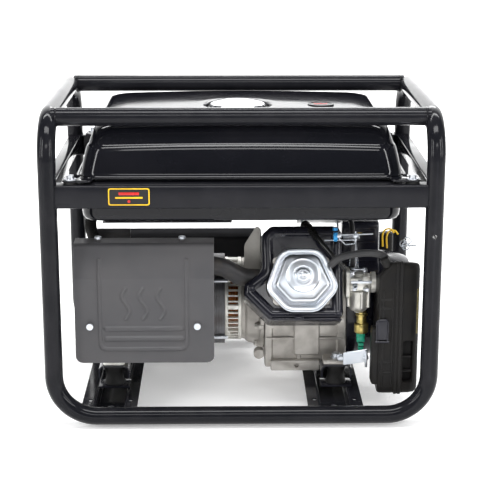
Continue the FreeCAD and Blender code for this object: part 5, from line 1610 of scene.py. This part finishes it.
# %% Panel face and sockets
face_low, face_high = span("panel_face")
FACE_Y = 243.0
bm = bmesh.new()
outline = rounded_outline(rectangle(face_low.x, face_high.x, 66, 246), 8, 6)
plate(bm, outline, facing_plus_y, 240, FACE_Y, 0.9)
soft_block(bm, (-165, 242.6, 180), (-119, 246.0, 216), 1.6, 3)
panel = piece("panel_front_plate", bm, "frame", "panel_paint", ["panel_face"])
openings = bmesh.new()
SOCKETS, SOCKET_Z = (-240, -170, -100), 118
METER_X, SWITCH_X, DIAL_Z = -245, -20, 198
for x in SOCKETS:
    turned_part(openings, (x, 236, SOCKET_Z), BACK, [(0, 27.2), (14, 27.2)], 64)
turned_part(openings, (METER_X, 236, DIAL_Z), BACK, [(0, 26.2), (14, 26.2)], 64)
soft_block(openings, (-151, 236, 187), (-133, 250, 209), 0.6, 2)
drill(panel, openings, overlapping=True)

bm = bmesh.new()
for x in SOCKETS:
    turned_part(bm, (x, 229.2, SOCKET_Z), BACK,
                [(0, 26.8), (13.8, 26.8), (13.8, 31.4), (14.6, 32), (17.6, 32), (18.7, 30.8),
                 (18.7, 24), (17.6, 22.6), (16.4, 22.0), (9.8, 21.8), (9.8, 0)], 72)
sockets = piece("panel_socket_rings", bm, "frame", "black_plastic", ["sockets"])
pins = bmesh.new()
for x in SOCKETS:
    for dx, dz in ((-9.5, 0), (9.5, 0), (0, 11)):
        turned_part(pins, (x + dx, 231, SOCKET_Z + dz), BACK, [(0, 2.6), (12, 2.6)], 24)
drill(sockets, pins)
bm = bmesh.new()
for x in SOCKETS:
    for angle in (45, 135, 225, 315):
        u, v = 29 * math.cos(math.radians(angle)), 29 * math.sin(math.radians(angle))
        soft_rod(bm, (x + u, 247.3, SOCKET_Z + v), BACK, 1.1, 2.0, 0.4, 20)
for x, z in ((-297, 74), (37, 74), (-297, 238), (37, 238), (-130, 74), (-130, 238)):
    turned_part(bm, (x, FACE_Y - 0.2, z), BACK, [(0, 4.4), (0.8, 4.4), (2.2, 3.4), (2.8, 1.8),
                                                      (2.2, 0.9), (2.2, 0)], 28)
piece("panel_screws", bm, "frame", "zinc")

# %% Voltmeter, breaker and key switch
bm = bmesh.new()
turned_part(bm, (METER_X, 229, DIAL_Z), BACK,
            [(0, 25.8), (14, 25.8), (14, 30.2), (14.8, 31), (16.8, 31), (17.8, 30), (17.4, 26),
             (15.6, 25), (15.6, 0)], 72)
piece("voltmeter_bezel", bm, "frame", "gloss_plastic", ["voltmeter"])
bm = bmesh.new()
turned_part(bm, (METER_X, 244.5, DIAL_Z), BACK, [(0, 24.4), (0.5, 24.4), (0.5, 0)], 64)
piece("voltmeter_dial", bm, "frame", "white")
bm = bmesh.new()
NEEDLE_Z = DIAL_Z - 6


def dial_stroke(y, degrees, inner, outer, width):
    """A straight stroke on the voltmeter's dial, pointing away from the needle's pivot."""
    angle = math.radians(degrees)
    tube(bm, [(METER_X - r * math.cos(angle), y, NEEDLE_Z + r * math.sin(angle))
              for r in (inner, outer)], width, 6)


for step in range(11):
    dial_stroke(245.2, 150 - 12 * step, 17.0 if step % 5 else 14.5, 20.5, 0.45)
dial_stroke(245.6, 105, -3, 18, 0.5)
soft_rod(bm, (METER_X, 245, NEEDLE_Z), BACK, 1.3, 3.2, 0.4, 24)
piece("voltmeter_scale", bm, "frame", "black_print_and_painted_shade")

bm = bmesh.new()
soft_block(bm, (-150, 243.2, 190), (-134, 247.4, 206.6), 1.4, 3)
soft_block(bm, (-148.5, 246.6, 199.4), (-135.5, 254.9, 206.6), 1.8, 3)
piece("breaker_rocker", bm, "breaker_lever", "gloss_plastic", ["breaker_lever"])
bm = bmesh.new()
turned_part(bm, (SWITCH_X, 243.5, DIAL_Z), BACK,
            [(0, 14.4), (0.6, 15), (3.4, 15), (4.6, 13.8), (4.8, 0)], 48)
soft_block(bm, (-23.8, 247.6, 184.4), (-16.2, 254.9, 211.6), 2.2, 3)
piece("key_switch_knob", bm, "engine_switch", "gloss_plastic", ["engine_switch"])
bm = bmesh.new()
turned_part(bm, (SWITCH_X, 242.4, DIAL_Z), BACK, [(0, 19), (0.8, 19), (1.0, 18.6), (1.0, 0)], 56)
for x, z in ((-20, 219), (-39, 207), (-1, 207)):
    soft_block(bm, (x - 2.4, 242.6, z - 0.8), (x + 2.4, 243.5, z + 0.8), 0.3)
soft_block(bm, (-90, 242.6, 190), (-62, 243.6, 206), 0.4)
piece("panel_print", bm, "frame", "white")
print("panel built")

# %% [markdown]
# ## Hoses, conduit and wires
#
# Small soft parts make an engine look used and believable: a breather hose, a fuel hose with its clips,
# the plug lead and its boot, a ribbed conduit and loops of yellow wire. They are smooth sweeps, and the
# conduit's ribs are a radius that swells and shrinks along the way.

# %% Breather hose, plug lead and fuel hose
bm = bmesh.new()
breather = smooth_route([(158, -184, 284), (176, -184, 299), (210, -178, 305), (240, -174, 304),
                         (256, -174, 299), (264, -178, 286), (266, -180, 266)], 10)
tube(bm, breather, 6.5, 24)
piece("breather_hose_swept", bm, "frame", "hose_rubber", ["breather_hose"])

bm = bmesh.new()
lead = smooth_route([(124, -112, 336), (132, -130, 330), (146, -150, 316), (166, -168, 296),
                     (186, -172, 274)], 8)
tube(bm, lead, 4.6, 20)
boot = smooth_route([(117, -100, 338), (126, -118, 334), (136, -136, 325)], 6)
tube(bm, boot, lambda share: 9.5 - 3.6 * share + 0.5 * math.sin(share * 26), 24)
piece("plug_lead_and_boot", bm, "frame", "gloss_plastic", ["spark_plug_cap"])

bm = bmesh.new()
fuel = smooth_route([(150, 88, 345), (150, 60, 345), (166, 20, 348), (192, -30, 348), (204, -84, 338),
                     (204, -112, 306), (204, -118, 262), (204, -116, 240)], 8)
tube(bm, fuel, 4.5, 20)
piece("fuel_hose_swept", bm, "frame", "hose_rubber", ["fuel_hose"])

bm = bmesh.new()
for spot in (5, 50):
    turned_part(bm, fuel[spot], fuel[spot + 1] - fuel[spot],
                [(-2.4, 4.3), (-2.4, 4.9), (2.4, 4.9), (2.4, 4.3)], 28)
piece("hose_clips", bm, "frame", "zinc")

# %% Ribbed conduit
bm = bmesh.new()
conduit = smooth_route([(-258, -146, 424), (-260, -146, 400), (-267, -140, 372), (-272, -128, 346),
                        (-268, -100, 312), (-250, -60, 275), (-216, 2, 238)], 90)
tube(bm, conduit, lambda share: 9.0 + 1.7 * math.sin(share * 377), 20)
piece("ribbed_wiring_conduit", bm, "frame", "black_plastic", ["wiring_conduit"])
bm = bmesh.new()
soft_block(bm, (-263, -101, 315), (-202, -98, 333), 1.0)
piece("wiring_cover_plate", bm, "frame", "shield_paint")

# %% Governor rods, springs and yellow wires
bm = bmesh.new()
tube(bm, [(168, -146, 331), (238, -146, 333)], 1.9, 12)
tube(bm, [(150, -150, 322), (206, -150, 323)], 1.3, 10)
hook = [(206, -150, 338), (206, -150, 316), (188, -150, 314), (176, -150, 326)]
tube(bm, bend_route(hook, 3, 4), 1.2, 10)
for x in (176, 206):
    hex_head(bm, (x, -150, 331), FRONT, 7, 4, 4.6)
tube(bm, coil_line((184, -140, 326), RIGHT, 3.2, 140, 10, 0.22), 0.6, 7)
tube(bm, [(213, -92, 306), (214, -130, 262)], 0.9, 8)
tube(bm, [(206, -96, 318), (198, -128, 268)], 0.9, 8)
for k, (y, z) in enumerate(((-116, 306), (-112, 300), (-108, 310))):
    ringed = circle_points((298 + 4 * k, y, z), (0.3, 1, 0.2 * k), 7.0, steps=30)
    tube(bm, ringed[:-1], 1.1, 8, closed=True)
tube(bm, [(296, -114, 302), (322, -114, 303)], 1.6, 10)
piece("control_rods", bm, "frame", "zinc")
bm = bmesh.new()
for start in ((262, -96, 296), (270, -92, 292)):
    x, y, z = start
    tube(bm, smooth_route([(x, y, z), (x - 1, y, z + 22), (x + 4, y, z + 32), (x + 14, y, z + 33),
                           (x + 20, y, z + 26)]), 1.7, 10)
tube(bm, smooth_route([(206, -128, 326), (214, -132, 330), (224, -130, 328)]), 1.6, 10)
piece("yellow_wires", bm, "frame", "yellow")
bm = bmesh.new()
soft_block(bm, (166, -152, 320), (174, -142, 336), 1.6)
soft_rod(bm, (170, -140, 338), UP, 6, 4.5, 0.8, 24)
piece("choke_cable_end", bm, "frame", "blue")

# %% Brackets, gasket plate and label
bm = bmesh.new()
plate(bm, rounded_outline([(188, 84), (233, 90), (233, 115), (188, 108)], 2.5), facing_minus_y, 148.6,
      151.0, 0.6)
soft_block(bm, (228, -158, 82), (232, -150, 114), 0.8)
hex_head(bm, (229, -151, 99), FRONT, 8, 4, 6)
hex_head(bm, (184, -142, 96), FRONT, 9, 6, 7)
piece("air_cleaner_stay", bm, "frame", "zinc")
bm = bmesh.new()
plate(bm, rounded_outline([(6, 232), (36, 232), (36, 332), (28, 336), (6, 300)], [3, 3, 10, 12, 20]),
      facing_minus_y, 96.0, 98.0, 0.6)
piece("heat_baffle_plate", bm, "frame", "grey_sheet")
bm = bmesh.new()
def label_panel(left, right, low, high, corner, back, front, soften):
    outline = rounded_outline(rectangle(left, right, low, high), corner, 5)
    plate(bm, outline, facing_minus_y, back, front, soften)


label_panel(-229, -158, 412, 442, 4, 251.0, 251.7, 0.1)
piece("label_border", bm, "frame", "yellow")
bm = bmesh.new()
label_panel(-227, -160, 414, 440, 3, 251.5, 251.9, 0.05)
piece("label_field", bm, "frame", "black_print_and_painted_shade")
bm = bmesh.new()
soft_block(bm, (-211, -252.2, 430), (-176, -251.6, 435), 0.2)
soft_rod(bm, (-193.5, -251.6, 419), FRONT, 0.6, 2.6, 0.1, 24)
piece("label_red_bar", bm, "frame", "red")
bm = bmesh.new()
soft_block(bm, (-217, -252.2, 424), (-170, -251.6, 427), 0.2)
piece("label_yellow_bar", bm, "frame", "yellow")
print(len(made), "pieces made")

# %% [markdown]
# ## Finish the parts that keep their fixed shape
#
# Everything not rebuilt above keeps its own mesh and only gets a finish. Each material slot of a fixed
# part carries the name of a finish, so one loop paints them all.

# %% Paint the fixed parts
painted = 0
for node in sorted(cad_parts):
    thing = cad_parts[node]
    for slot in thing.material_slots:
        look = slot.material.name.split(".")[0] if slot.material else ""
        if look in FINISH:
            slot.material = FINISH[look]
            painted += 1
print("painted slots:", painted)
